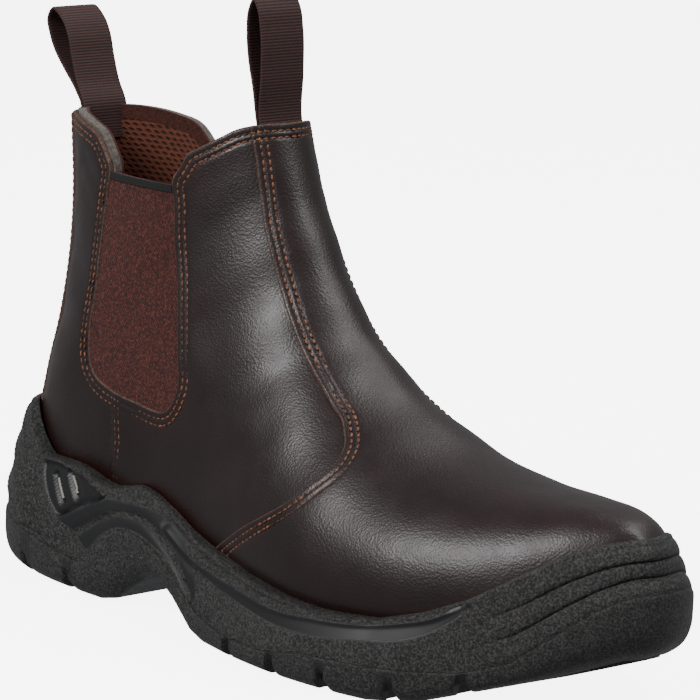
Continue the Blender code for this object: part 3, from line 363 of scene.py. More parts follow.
def ring_faces(rows, count, first=0):
    """Four-sided faces of a tube made of rings of count points, from point number first."""
    faces = []
    for i in range(rows - 1):
        below = first + i * count
        for j in range(count):
            k = (j + 1) % count
            faces.append([below + j, below + k, below + count + k, below + count + j])
    return faces


def end_faces(rows, count, first=0):
    """The faces that close both ends of such a tube."""
    last = first + (rows - 1) * count
    return [list(range(first, first + count)), list(range(last, last + count))]


def smooth_step(value, low, high):
    """0 below low, 1 above high, and a soft curve in between."""
    share = np.clip((value - low) / (high - low), 0.0, 1.0)
    return share * share * (3 - 2 * share)


def line_distance(points, line):
    """Distance of each point to the nearest part of an open line."""
    start = line[:-1]
    edge = line[1:] - start
    square = np.maximum(np.sum(edge * edge, axis=1), 1e-18)
    nearest = []
    for block in np.array_split(points, max(1, len(points) // 3000)):
        offset = block[:, None, :] - start[None]
        share = np.clip(np.sum(offset * edge, axis=2) / square, 0.0, 1.0)
        gap = offset - share[:, :, None] * edge
        nearest.append(np.sqrt(np.min(np.sum(gap * gap, axis=2), axis=1)))
    return np.concatenate(nearest) if nearest else np.zeros(0)


def signed_distance(points, outline):
    """Distance of each flat point to a closed outline, above zero inside it."""
    closed = np.vstack([outline, outline[:1]])
    distance = line_distance(points, closed)
    start = outline
    end = np.roll(outline, -1, axis=0)
    edge = end - start
    x, y = points[:, 0:1], points[:, 1:2]
    spans = (start[:, 1] > y) != (end[:, 1] > y)
    rise = np.where(np.abs(edge[:, 1]) < 1e-12, 1e-12, edge[:, 1])
    crosses = spans & (x < start[:, 0] + (y - start[:, 1]) / rise * edge[:, 0])
    inside = np.sum(crosses, axis=1) % 2 == 1
    return np.where(inside, distance, -distance)


# The last: the surface of the leather

def floor_height(x):
    """Top of the midsole under the foot."""
    along = np.asarray(x, float) / LAST_LENGTH
    heel = column(FLOOR, 1, along) * HEEL_HEIGHT
    ball = column(FLOOR, 2, along) * BALL_HEIGHT
    return heel + ball + column(FLOOR, 3, along) * TOE_SPRING


def leather_outline(fineness=24):
    """Closed plan outline of the leather, and the index of its toe point."""
    rows = np.asarray(OUTLINE, float) * (LAST_LENGTH, BALL_WIDTH)
    around = np.vstack([rows[-3:], rows, rows[:4]])
    steps = np.linalg.norm(np.diff(around, axis=0), axis=1) ** 0.5
    knots = np.concatenate([[0.0], np.cumsum(steps)])
    places = []
    for k in range(len(rows)):
        places.extend(np.linspace(knots[3 + k], knots[4 + k], fineness, endpoint=False))
    return spline(knots, around, np.array(places)), TOE_POINT * fineness


OUTLINE_POINTS, OUTLINE_TOE = leather_outline()
OUTLINE_SIDES = {-1: OUTLINE_POINTS[:OUTLINE_TOE + 1],
                 1: np.vstack([OUTLINE_POINTS[OUTLINE_TOE:], OUTLINE_POINTS[:1]])[::-1]}


def half_width(x, side):
    """Distance of the plan outline from the centre line, lateral (-1) or medial (1)."""
    half = OUTLINE_SIDES[side]
    order = np.argsort(half[:, 0])
    return side * float(np.interp(x, half[order, 0], half[order, 1]))


class Last:
    """The surface of the leather, read by section number and girth from -1 (lateral) to 1."""

    def __init__(self):
        rows = np.array([self.in_metres(row) for row in SECTIONS])
        self.knots = 0.5 * (chord_lengths(rows[:, 0:2]) + chord_lengths(rows[:, 2:4]))
        self.last_section = len(rows) - 1
        numbers = np.linspace(0, self.last_section, self.last_section * FINE_PER_SECTION + 1)
        places = np.interp(numbers, np.arange(len(rows)), self.knots)
        table = spline(self.knots, rows, places)
        self.points = np.array([self.ring(row) for row in table])
        self.normals = self.surface_normals()

    @staticmethod
    def in_metres(row):
        top_along, top, low_along, low, width, widest, round_top, round_low, curl, ridge = row
        x_top = top_along * LAST_LENGTH
        x_low = low_along * LAST_LENGTH
        z_top = INSTEP_HEIGHT * min(top, 1.0) + (SHAFT_HEIGHT - INSTEP_HEIGHT) * max(top - 1.0, 0.0)
        z_low = float(floor_height(x_low)) + low * (SHAFT_HEIGHT - HEEL_HEIGHT)
        return (x_top, z_top, x_low, z_low, width, widest, round_top, round_low, curl,
                ridge * BALL_WIDTH)

    @staticmethod
    def ring(row):
        """One section: the ridge, down the lateral side, the low line, up the medial side."""
        x_top, z_top, x_low, z_low, width, widest, round_top, round_low, curl, ridge = row
        angle = np.linspace(math.pi / 2, -math.pi / 2, 4 * FINE_PER_SIDE + 1)
        rise = np.abs(np.sin(angle))
        reach = np.clip(np.cos(angle), 0.0, 1.0)
        upper_half = np.sin(angle) >= 0.0
        along = np.where(upper_half, widest + (1 - widest) * rise, widest - widest * rise ** curl)
        wide = np.where(upper_half, reach ** round_top, reach ** round_low)
        x = x_low + (x_top - x_low) * along
        z = z_low + (z_top - z_low) * along
        x_wide = x_low + widest * (x_top - x_low)
        sides = []
        for side in (-1, 1):
            half = half_width(x_wide, side) * width
            y = ridge + side * (half - side * ridge) * wide
            sides.append(resample(np.stack([x, y, z], axis=1), FINE_PER_SIDE + 1))
        return np.vstack([sides[0], sides[1][1:-1][::-1]])

    def surface_normals(self):
        along = np.gradient(self.points, axis=0)
        around = np.roll(self.points, -1, axis=1) - np.roll(self.points, 1, axis=1)
        normals = np.cross(along, around)
        normals = normals / np.maximum(np.linalg.norm(normals, axis=2), 1e-12)[:, :, None]
        if np.sum(normals * (self.points - self.points.mean(axis=1, keepdims=True))) < 0:
            normals = -normals
        normals[0] = (1.0, 0.0, 0.0)
        return normals

    def read(self, grid, places):
        """Values of a grid at places given as section and girth."""
        places = np.atleast_2d(places)
        row = np.clip(places[:, 0] * FINE_PER_SECTION, 0, len(grid) - 1.000001)
        around = np.mod(np.mod(-places[:, 1], 2.0) * FINE_PER_SIDE, 2 * FINE_PER_SIDE)
        i = row.astype(int)
        j = around.astype(int)
        j_next = (j + 1) % (2 * FINE_PER_SIDE)
        a = (row - i)[:, None]
        b = (around - j)[:, None]
        near = grid[i, j] * (1 - b) + grid[i, j_next] * b
        far = grid[i + 1, j] * (1 - b) + grid[i + 1, j_next] * b
        return near * (1 - a) + far * a

    def at(self, places):
        return self.read(self.points, places)

    def normal_at(self, places):
        normals = self.read(self.normals, places)
        return normals / np.linalg.norm(normals, axis=1)[:, None]

    def tree(self):
        """Search tree of the surface, for rays that look for the leather."""
        rows, count = self.points.shape[:2]
        points = [Vector(p) for p in self.points.reshape(-1, 3)]
        toe = end_faces(rows, count)[:1]
        return BVHTree.FromPolygons(points, ring_faces(rows, count) + toe)


LAST = Last()
LAST_TREE = LAST.tree()


# Meshes and materials

def linear(text):
    """Linear colour of an sRGB hex value such as #2e2422."""
    parts = [int(text[k:k + 2], 16) / 255.0 for k in (1, 3, 5)]
    return tuple(c / 12.92 if c <= 0.04045 else ((c + 0.055) / 1.055) ** 2.4 for c in parts)


def tone_of(value):
    """Linear colour of a hex value, a grey or a colour property."""
    if isinstance(value, str):
        return (*linear(value), 1.0)
    if isinstance(value, (int, float)):
        return (value, value, value, 1.0)
    return (*tuple(value)[:3], 1.0)


def length(name, description, default):
    """A length that the sidebar shows, in metres."""
    return bpy.props.FloatProperty(name=name, description=description, default=default, min=0.0,
                                   precision=5, unit="LENGTH")


def colour(name, description, default):
    """A colour that the sidebar shows, from an sRGB hex value."""
    return bpy.props.FloatVectorProperty(name=name, description=description, subtype="COLOR", size=3,
                                         min=0.0, max=1.0, default=linear(default))


class BootSizes(bpy.types.PropertyGroup):
    """Sizes of the boot's fine parts."""

    stitch_pitch: length("Stitch pitch", "Distance from one stitch to the next", 2.6 * MM)
    stitch_length: length("Stitch length", "Visible length of one stitch", 2.0 * MM)
    thread_radius: length("Thread radius", "Half the thickness of the thread", 0.42 * MM)
    gore_thickness: length("Gore thickness", "Thickness of the elastic", 1.4 * MM)
    tape_width: length("Tape width", "Width of the tape on top of the gores", 2.5 * MM)
    lining_thickness: length("Lining", "Thickness of the lining inside the boot", 1.8 * MM)
    collar_padding: length("Collar padding", "What the lining is thicker by at the collar", 1.4 * MM)
    felt_rise: length("Felt rise", "How far the felt stands above the leather", 1.1 * MM)
    webbing_width: length("Webbing width", "Width of the pull loops", 19.5 * MM)
    webbing_thickness: length("Webbing thickness", "Thickness of the pull loops", 1.3 * MM)
    rib_pitch: length("Rib pitch", "Distance between the ribs of the webbing", 1.05 * MM)


class BootColours(bpy.types.PropertyGroup):
    """Colours of the boot's materials."""

    leather_dark: colour("Leather, dark", "Darker dye of the leather", "#1a0b09")
    leather_light: colour("Leather, light", "Lighter dye of the leather", "#23110e")
    thread_dark: colour("Thread, dark", "Thread in the shade of its twist", "#24110b")
    # The light thread colour is a painted highlight.
    thread_highlight: colour("Thread, light", "Thread with a painted highlight", "#9a5e3e")
    elastic: colour("Elastic", "Yarn of the gores", "#491a11")
    webbing: colour("Webbing", "Yarn of the pull loops", "#4a2823")
    lining: colour("Lining", "Knit of the lining", "#6b3421")
    # The stipple's pits are painted darker, as painted shade, and its tops lighter, as painted highlights.
    rubber_pit_shade: colour("Rubber, dark", "Rubber in the pits of the stipple", "#0b0b0b")
    rubber_top_highlight: colour("Rubber, light", "Rubber on the tops of the stipple", "#504e4b")


def sizes():
    return bpy.context.scene.boot_sizes


def colours():
    return bpy.context.scene.boot_colours


# Edges that turn by more than this stay sharp
SHARP_FROM = math.radians(50)


def add_piece(name, vertices, faces, materials, numbers=None, face_slots=None):
    """A mesh of the boot, given in the last's frame, with named numbers on its points."""
    mesh = bpy.data.meshes.new(name)
    mesh.from_pydata((np.asarray(vertices) + LAST_AT).tolist(), [], [list(map(int, f)) for f in faces])
    for label, values in (numbers or {}).items():
        layer = mesh.attributes.new(label, "FLOAT", "POINT")
        layer.data.foreach_set("value", np.asarray(values, np.float32))
    for material in materials:
        mesh.materials.append(material)
    if face_slots is not None:
        mesh.polygons.foreach_set("material_index", np.asarray(face_slots, np.int32))
    work = bmesh.new()
    work.from_mesh(mesh)
    bmesh.ops.recalc_face_normals(work, faces=work.faces)
    if work.calc_volume(signed=True) < 0.0:
        bmesh.ops.reverse_faces(work, faces=work.faces)
    work.to_mesh(mesh)
    work.free()
    mesh.shade_smooth()
    mesh.set_sharp_from_angle(angle=SHARP_FROM)
    piece = bpy.data.objects.new(name, mesh)
    bpy.context.scene.collection.objects.link(piece)
    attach(piece, "root")
    return piece


# Kinds of node, and settings that several of them share
NOISE = "ShaderNodeTexNoise"
CELLS = "ShaderNodeTexVoronoi"
WAVES = "ShaderNodeTexWave"
RAMP = "ShaderNodeValToRGB"
MIX = "ShaderNodeMix"
MATH = "ShaderNodeMath"
BUMP = "ShaderNodeBump"
STORED = "ShaderNodeAttribute"
OF_COLOURS = {"data_type": "RGBA"}
SLANTED = {"wave_type": "BANDS", "bands_direction": "DIAGONAL"}
CROSSWISE = {"wave_type": "BANDS", "bands_direction": "X"}


def join(material, source, socket):
    """Gives a socket another node's output, a number, or a colour as hex or from the sidebar."""
    if isinstance(source, tuple) and isinstance(source[0], bpy.types.Node):
        material.node_tree.links.new(source[0].outputs[source[1]], socket)
    elif socket.type == "RGBA":
        socket.default_value = tone_of(source)
    else:
        socket.default_value = source


def add_node(material, kind, output, settings=None, stops=(), **sockets):
    """Adds a node and gives back one output of it, for join.

    Settings go on the node, and stops, (position, hex colour or grey), on its colour ramp. A socket is
    named as in Blender with _ for a space, or n and its number.
    """
    node = material.node_tree.nodes.new(kind)
    for key, value in (settings or {}).items():
        setattr(node, key, value)
    if stops:
        line = node.color_ramp
        while len(line.elements) < len(stops):
            line.elements.new(0.5)
        for element, (position, tone) in zip(line.elements, stops):
            element.position = position
            element.color = tone_of(tone)
    for key, value in sockets.items():
        place = int(key[1:]) if key[1:].isdigit() else key.replace("_", " ")
        join(material, value, node.inputs[place])
    return node, output


def millimetres(material):
    """The place on the piece in millimetres, for patterns of a real size."""
    place = add_node(material, "ShaderNodeTexCoord", "Object")
    return add_node(material, "ShaderNodeVectorMath", "Vector", {"operation": "SCALE"}, n0=place,
                    Scale=1.0 / MM)


def new_material(name, roughness, coat=0.0, sheen=0.0, specular=0.5):
    """A material that isn't metal, whose colour and bump are joined afterwards by finish."""
    material = bpy.data.materials.new(name)
    material.use_nodes = True
    shader = material.node_tree.nodes["Principled BSDF"]
    values = {"Metallic": 0.0, "Roughness": roughness, "IOR": 1.5, "Specular IOR Level": specular,
              "Coat Weight": coat, "Coat Roughness": 0.35, "Sheen Weight": sheen, "Sheen Roughness": 0.5}
    for socket, value in values.items():
        shader.inputs[socket].default_value = value
    return material


def finish(material, colour_from, bump_from=None, roughness_from=None):
    """Joins what the surface shader's colour, bump and roughness come from."""
    shader = material.node_tree.nodes["Principled BSDF"]
    join(material, colour_from, shader.inputs["Base Color"])
    if bump_from is not None:
        join(material, bump_from, shader.inputs["Normal"])
    if roughness_from is not None:
        join(material, roughness_from, shader.inputs["Roughness"])


def polished_leather():
    """Corrected full-grain cow leather, dyed dark brown and polished.

    Its fine pores show as a soft bump, and the polish gives broad, soft highlights. Where handling has
    worn it, the dye is a little lighter. Just above the sole's lip it is painted lighter and redder, as
    painted shading.
    """
    material = new_material("Polished brown leather", 0.42, coat=0.15)
    place = millimetres(material)
    blotch = add_node(material, NOISE, "Fac", Vector=place, Scale=1.0 / 28.0, Detail=3.0)
    dyes = ((0.30, colours().leather_dark), (0.72, colours().leather_light))
    tone = add_node(material, RAMP, "Color", stops=dyes, Fac=blotch)
    # Painted shading: a strip just above the sole's lip is painted lighter and redder. Along the edges the
    # lighter tone is real wear of the dye.
    for label, wear_and_shading_tone in (("near_lip", "#2c130d"), ("worn", "#2c1c19")):
        share = add_node(material, STORED, "Fac", {"attribute_name": label})
        tone = add_node(material, MIX, 2, OF_COLOURS, n0=share, n6=tone, n7=wear_and_shading_tone)
    pores = add_node(material, CELLS, "Distance", {"feature": "SMOOTH_F1"}, Vector=place,
                     Scale=1.0 / 0.75, Smoothness=0.6)
    pore_bump = add_node(material, BUMP, "Normal", Height=pores, Distance=0.09 * MM)
    waves = add_node(material, NOISE, "Fac", Vector=place, Scale=1.0 / 3.2, Detail=3.0)
    wave_bump = add_node(material, BUMP, "Normal", Height=waves, Distance=0.05 * MM, Normal=pore_bump)
    polish = add_node(material, NOISE, "Fac", Vector=place, Scale=1.0 / 9.0, Detail=4.0)
    rough = add_node(material, RAMP, "Color", stops=((0.3, 0.36), (0.7, 0.46)), Fac=polish)
    finish(material, tone, wave_bump, rough)
    return material


def speckled(name, roughness, sheen, grain, stops, fuzz, depth):
    """A matt material in blotches of grain millimetres, with a fuzz of bumps depth millimetres deep.

    grain and fuzz are (size in millimetres, detail, roughness of the noise).
    """
    material = new_material(name, roughness, sheen=sheen)
    place = millimetres(material)
    size, detail, rough = grain
    blotch = add_node(material, NOISE, "Fac", Vector=place, Scale=1.0 / size, Detail=detail, Roughness=rough)
    tone = add_node(material, RAMP, "Color", stops=stops, Fac=blotch)
    raised = None
    if fuzz:
        size, detail, rough = fuzz
        fibre = add_node(material, NOISE, "Fac", Vector=place, Scale=1.0 / size, Detail=detail,
                         Roughness=rough)
        raised = add_node(material, BUMP, "Normal", Height=fibre, Distance=depth * MM)
    finish(material, tone, raised)
    return material


def raw_leather_edge():
    """The cut edge of the same leather, undyed in its middle, so that it is lighter and matt."""
    return speckled("Raw cut leather edge", 0.75, 0.0, (0.9, 3.0, 0.5), ((0.3, "#2c1b16"), (0.7, "#6b4d40")),
                    (0.5, 2.0, 0.5), 0.08)


def waxed_thread():
    """Twisted and waxed polyester thread, dark brown, painted light tan in blotches as painted highlights on
    the stitches.
    """
    material = new_material("Waxed brown thread", 0.45)
    place = millimetres(material)
    # Painted highlights: blotches of noise paint the thread light tan.
    glint_noise = add_node(material, NOISE, "Fac", Vector=place, Scale=1.0 / 1.8, Detail=3.0, Roughness=0.7)
    stops = ((0.38, colours().thread_dark), (0.62, colours().thread_highlight))
    tone = add_node(material, RAMP, "Color", stops=stops, Fac=glint_noise)
    twist = add_node(material, WAVES, "Fac", SLANTED, Vector=place, Scale=1.4)
    finish(material, tone, add_node(material, BUMP, "Normal", Height=twist, Distance=0.06 * MM))
    return material


def moulded_rubber(name, grain, depth, rough):
    """Moulded black rubber. The mould's spark-eroded stipple breaks its gloss into specks; its pits are
    painted darker, as painted shade, and its tops lighter and greyer, as painted highlights. Where the
    number smooth is 1 the mould was polished."""
    material = new_material(name, rough, specular=0.45)
    place = millimetres(material)
    smooth = add_node(material, STORED, "Fac", {"attribute_name": "smooth"})
    specks = add_node(material, NOISE, "Fac", Vector=place, Scale=1.0 / grain, Detail=4.0, Roughness=0.75)
    # Painted shade in the stipple's pits and painted highlights on its tops, from the same noise as the
    # bump.
    stops = ((0.45, colours().rubber_pit_shade), (0.60, colours().rubber_top_highlight))
    tone = add_node(material, RAMP, "Color", stops=stops, Fac=specks)
    tone = add_node(material, MIX, 2, OF_COLOURS, n0=smooth, n6=tone, n7="#1a1a1b")
    stippled = add_node(material, MATH, "Value", {"operation": "SUBTRACT"}, n0=1.0, n1=smooth)
    height = add_node(material, MATH, "Value", {"operation": "MULTIPLY"}, n0=specks, n1=stippled)
    raised = add_node(material, BUMP, "Normal", Height=height, Distance=depth * MM)
    gloss = add_node(material, "ShaderNodeMapRange", "Result", Value=smooth, To_Min=rough, To_Max=0.42)
    finish(material, tone, raised, gloss)
    return material


# Leather sheet that is cut along lines

class Sheet:
    """The last's surface as faces in section and girth, which can be cut along lines."""

    def __init__(self):
        run = LAST.knots[-1]
        places = np.linspace(0.0, run, int(run / LEATHER_GRAIN))
        sections = np.interp(places, LAST.knots, np.arange(len(LAST.knots)))
        girths = np.arange(-LEATHER_ROUND, LEATHER_ROUND) / LEATHER_ROUND
        self.places = [(s, g) for s in sections for g in girths]
        count = 2 * LEATHER_ROUND
        self.faces = [list(range(count))[::-1]] + ring_faces(len(sections), count)

    def between(self, a, b, share):
        share = share[:, None]
        turn = np.mod(b[:, 1:] - a[:, 1:] + 1.0, 2.0) - 1.0
        section = a[:, :1] + share * (b[:, :1] - a[:, :1])
        girth = np.mod(a[:, 1:] + share * turn + 1.0, 2.0) - 1.0
        return np.hstack([section, girth])

    def cut(self, faces, field):
        """Cut the faces where the field is zero, and return those where it is above and below."""
        places = np.array(self.places)
        used = sorted({index for face in faces for index in face})
        values = np.zeros(len(places))
        values[used] = field(places[used])
        edges = sorted({(min(a, b), max(a, b)) for face in faces
                        for a, b in zip(face, face[1:] + face[:1])
                        if values[a] * values[b] < 0.0})
        crossing = {}
        if edges:
            ends = np.array(edges)
            start = places[ends[:, 0]]
            end = places[ends[:, 1]]
            low = np.zeros(len(ends))
            high = np.ones(len(ends))
            sign = np.sign(values[ends[:, 0]])
            for _ in range(9):
                middle = 0.5 * (low + high)
                same = field(self.between(start, end, middle)) * sign > 0
                low = np.where(same, middle, low)
                high = np.where(same, high, middle)
            share = 0.5 * (low + high)
            for (a, b), where in zip(edges, share):
                if where < 0.02:
                    values[a] = 0.0
                if where > 0.98:
                    values[b] = 0.0
            for (a, b), place in zip(edges, self.between(start, end, share)):
                if values[a] * values[b] < 0.0:
                    crossing[(a, b)] = len(self.places)
                    self.places.append(tuple(place))
        above = []
        below = []
        for face in faces:
            signs = [values[index] for index in face]
            if min(signs) >= 0:
                above.append(face)
                continue
            if max(signs) <= 0:
                below.append(face)
                continue
            over = []
            under = []
            for a, b in zip(face, face[1:] + face[:1]):
                if values[a] >= 0:
                    over.append(a)
                if values[a] <= 0:
                    under.append(a)
                point = crossing.get((min(a, b), max(a, b)))
                if point is not None:
                    over.append(point)
                    under.append(point)
            if len(over) > 2:
                above.append(over)
            if len(under) > 2:
                below.append(under)
        return above, below

    def cut_at(self, faces, field, levels):
        """Add lines of points where the field has the levels, and keep all the faces."""
        for level in levels:
            above, below = self.cut(faces, lambda places: field(places) - level)
            faces = above + below
        return faces


def open_edges(faces):
    """Directed edges that only one face has."""
    edges = {(a, b) for face in faces for a, b in zip(face, face[1:] + face[:1])}
    return {a: b for a, b in edges if (b, a) not in edges}


def chains(follow):
    """Rows of points joined end to end by the directed edges."""
    follow = dict(follow)
    ends = set(follow.values())
    rows = []
    starts = [a for a in follow if a not in ends]
    while follow:
        point = starts.pop() if starts else next(iter(follow))
        if point not in follow:
            continue
        row = [point]
        while row[-1] in follow:
            row.append(follow.pop(row[-1]))
        rows.append(row)
    return rows


def soften(line, passes=2, closed=False):
    """The line with its small wobbles evened out."""
    for _ in range(passes):
        if closed:
            line = 0.25 * np.roll(line, 1, axis=0) + 0.5 * line + 0.25 * np.roll(line, -1, axis=0)
        else:
            line = np.vstack([line[:1], 0.25 * line[:-2] + 0.5 * line[1:-1] + 0.25 * line[2:], line[-1:]])
    return line


def opening_outline():
    """The collar opening with the gores, closed by a lid well above the boot, in metres."""
    rows = np.asarray(OPENING, float) * (LAST_LENGTH, SHAFT_HEIGHT)
    curve = smooth_line(rows, OPENING_POINTS)
    lid = OPENING_LID * LAST_LENGTH
    return np.vstack([curve, curve[[-1, 0]] + ((lid, lid), (-lid, lid))])


def quarter_outline():
    """The quarters and back of the upper, behind the vamp's edge, in sections and scaled girth."""
    rows = np.array(VAMP_EDGE)
    curve = smooth_line(rows, VAMP_EDGE_POINTS)
    return np.vstack([curve, QUARTER_FAR]) * (1.0, GIRTH_PER_SECTION)


OPENING_CURVE = opening_outline()
QUARTER_CURVE = quarter_outline()


def above_floor(places):
    points = LAST.at(places)
    return points[:, 2] - floor_height(points[:, 0]) - CLEARANCE


def in_opening(places):
    return signed_distance(LAST.at(places)[:, [0, 2]], OPENING_CURVE)


def in_quarters(places):
    girth = np.abs(places[:, 1]) + MEDIAL_SHIFT * (places[:, 1] > 0)
    return signed_distance(np.column_stack([places[:, 0], girth * GIRTH_PER_SECTION]), QUARTER_CURVE)


def on_back_stay(places):
    return np.abs(places[:, 1]) - STAY_EDGE


# Side seam below the gore, in side view, and the creases: all in millimetres on the last
SIDE_SEAM = np.array(((63.5, 74.0), (64.2, 68.0), (65.2, 56.0), (62.8, 41.0), (61.5, 30.0))) * MM
CREASES = (
    # x, z, x, z, width, depth, side (0 both)
    (150.0, 106.0, 120.0, 82.0, 9.0, 0.55, 0),
    (140.0, 124.0, 112.0, 104.0, 10.0, 0.50, 0),
    (176.0, 88.0, 160.0, 52.0, 11.0, 0.45, 0),
    (205.0, 76.0, 196.0, 44.0, 13.0, 0.35, 0),
    (22.0, 118.0, 48.0, 104.0, 7.0, 0.35, 0),
    (16.0, 92.0, 46.0, 86.0, 8.0, 0.40, 0),
    (30.0, 150.0, 46.0, 138.0, 3.5, 0.30, 0),
    (27.0, 144.0, 44.0, 131.0, 3.0, 0.25, 0),
    (80.0, 58.0, 112.0, 50.0, 12.0, 0.50, 0),
    (100.0, 74.0, 128.0, 62.0, 10.0, 0.45, 0),
    (252.0, 58.0, 262.0, 46.0, 10.0, 0.30, -1),
)

# The ridge along each crease: share of the crease's depth, how many half widths away, and its spread
CREASE_RIDGE = 0.45
CREASE_RIDGE_AT = 1.5
CREASE_RIDGE_SPREAD = 0.5


def side_seam(places):
    """Distance ahead of the side seam, in side view, and well ahead above the gore's foot."""
    points = LAST.at(places)
    seam = np.interp(points[:, 2], SIDE_SEAM[::-1, 1], SIDE_SEAM[::-1, 0])
    return np.where(points[:, 2] > SIDE_SEAM[0, 1] + 4 * MM, 0.05, points[:, 0] - seam)


def crease_depth(points):
    """Soft troughs where the leather bends in use, with a low ridge along each."""
    total = np.zeros(len(points))
    for x0, z0, x1, z1, width, depth, side in CREASES:
        ends = np.array(((x0, z0), (x1, z1))) * MM
        gap = line_distance(points[:, [0, 2]], ends) / (width * MM)
        ridge = CREASE_RIDGE * np.exp(-(gap - CREASE_RIDGE_AT) ** 2 / CREASE_RIDGE_SPREAD)
        here = depth * MM * (np.exp(-gap * gap) - ridge)
        if side:
            here = here * (points[:, 1] * side > 0)
        total += here
    return total


# Shared lines shorter than this are scraps of the cutting, and no edge of a panel
SHORT_SCRAP = 20 * MM


class UpperPattern:
    """The cut panels of the upper and the lines of their edges."""

    def __init__(self):
        sheet = Sheet()
        standing, _ = sheet.cut(sheet.faces, above_floor)
        self.opening, leather = sheet.cut(standing, in_opening)
        self.sheet = sheet
        rows = chains(open_edges(leather))
        heights = [LAST.at(np.array(sheet.places)[row])[:, 2].max() for row in rows]
        loop = LAST.at(np.array(sheet.places)[rows[int(np.argmax(heights))]])
        count = int(chord_lengths(loop)[-1] / MM)
        loop = soften(resample(loop, count)[:-1], 3, closed=True)
        self.collar = np.vstack([loop, loop[:1]])
        leather = sheet.cut_at(leather, self.from_collar, EDGE_LEVELS + ROW_LEVELS)
        quarters, self.vamp = sheet.cut(leather, in_quarters)
        self.vamp_lines = self.shared_lines(quarters, self.vamp)
        self.vamp = sheet.cut_at(self.vamp, self.from_vamp_edge, EDGE_LEVELS + ROW_LEVELS)
        self.stay, quarters = sheet.cut(quarters, on_back_stay)
        self.stay_lines = self.shared_lines(quarters, self.stay)
        self.stay = sheet.cut_at(self.stay, self.from_stay_edge, EDGE_LEVELS)
        self.quarters = sheet.cut_at(quarters, side_seam, (-LAP_HALF, LAP_HALF))

    def shared_lines(self, first, second):
        """Smoothed lines where two groups of faces meet, from the collar or heel down."""
        edges = {(a, b) for face in first for a, b in zip(face, face[1:] + face[:1])}
        other = {(b, a) for face in second for a, b in zip(face, face[1:] + face[:1])}
        rows = chains({a: b for a, b in edges & other})
        lines = []
        for row in rows:
            line = LAST.at(np.array(self.sheet.places)[row])
            run = chord_lengths(line)[-1]
            if run > SHORT_SCRAP:
                lines.append(soften(resample(line, int(run / MM)), 3))
        return lines

    def from_collar(self, places):
        return line_distance(LAST.at(places), self.collar)

    def from_vamp_edge(self, places):
        points = LAST.at(places)
        return np.min([line_distance(points, line) for line in self.vamp_lines], axis=0)

    def from_stay_edge(self, places):
        points = LAST.at(places)
        return np.min([line_distance(points, line) for line in self.stay_lines], axis=0)


# Distances from an edge in metres: its rounded corner, and the two rows of stitches
EDGE_LEVELS = (0.2 * MM, 0.55 * MM, 1.0 * MM)
ROW_LEVELS = (2.0 * MM, 2.6 * MM, 3.3 * MM, 4.4 * MM, 5.0 * MM, 5.8 * MM)
ROWS_IN = (2.6 * MM, 5.0 * MM)
EDGE_ROUND = 0.8 * MM
RAW_EDGE = 0.60 * MM
# How deep a row of stitches pulls the leather in, and how high it swells between two rows
ROW_PULL = 0.28 * MM
ROW_PULL_HALF = 0.55 * MM
ROW_SWELL = 0.10 * MM
ROW_SWELL_AT = 3.8 * MM
ROW_SWELL_HALF = 0.6 * MM


def edge_drop(distance):
    """How far a rounded edge lies below the surface."""
    inner = np.clip(EDGE_ROUND - distance, 0.0, EDGE_ROUND)
    return EDGE_ROUND - np.sqrt(EDGE_ROUND ** 2 - inner ** 2)


def stitch_pull(distance):
    """How deep the two rows of stitches pull the leather in."""
    pull = np.zeros(len(distance))
    for row in ROWS_IN:
        pull += ROW_PULL * mound(distance - row, ROW_PULL_HALF)
    return pull - ROW_SWELL * mound(distance - ROW_SWELL_AT, ROW_SWELL_HALF)


def leather_panel(name, sheet, faces, depth_of, thickness, materials):
    """A closed leather panel: its outer side at a depth below the last, its rim and its inner side."""
    places = np.array(sheet.places)
    used = sorted({index for face in faces for index in face})
    new = {index: k for k, index in enumerate(used)}
    points = LAST.at(places[used])
    normals = LAST.normal_at(places[used])
    depths, numbers = depth_of(places[used], points)
    outer = points - normals * depths[:, None]
    inner = points - normals * thickness
    for side in (outer, inner):
        side[:, 2] = np.maximum(side[:, 2], floor_height(side[:, 0]) + CLEARANCE)
    count = len(used)
    polygons = [[new[i] for i in face] for face in faces]
    polygons += [[new[i] + count for i in reversed(face)] for face in faces]
    slots = [0] * len(polygons)
    for a, b in open_edges(faces).items():
        polygons.append([new[b], new[a], new[a] + count, new[b] + count])
        slots.append(1)
    edge = numbers.pop("edge")
    for k, face in enumerate(faces):
        if max(edge[new[i]] for i in face) < RAW_EDGE:
            slots[k] = 1
    values = {key: np.concatenate([value, value]) for key, value in numbers.items()}
    return add_piece(name, np.vstack([outer, inner]), polygons, materials, values, slots)


# Heights above the sole's lip between which the strip of painted shading fades out
LIP_STRIP = (1.4 * MM, 2.6 * MM)


def lip_closeness(points):
    """1 at the sole's lip and 0 above the strip of leather that is painted lighter there, as painted
    shading.
    """
    lip = column(SOLE_SIDE, 1, points[:, 0] / LAST_LENGTH) * HEEL_HEIGHT
    return 1.0 - smooth_step(points[:, 2] - lip, *LIP_STRIP)


# Lap of the rear quarter over the front one at the side seam, and where ahead of it the lap has gone
LAP_STEP = 0.55 * MM
LAP_HALF = 0.3 * MM
LAP_FADE = (5 * MM, 25 * MM)
SEAM_TOP_ROOM = 3 * MM
STAY_INSET = 0.35 * MM
# Half widths of the strips along the edges where handling has worn the dye
VAMP_WORN = 0.9 * MM
EDGE_WORN = 0.8 * MM


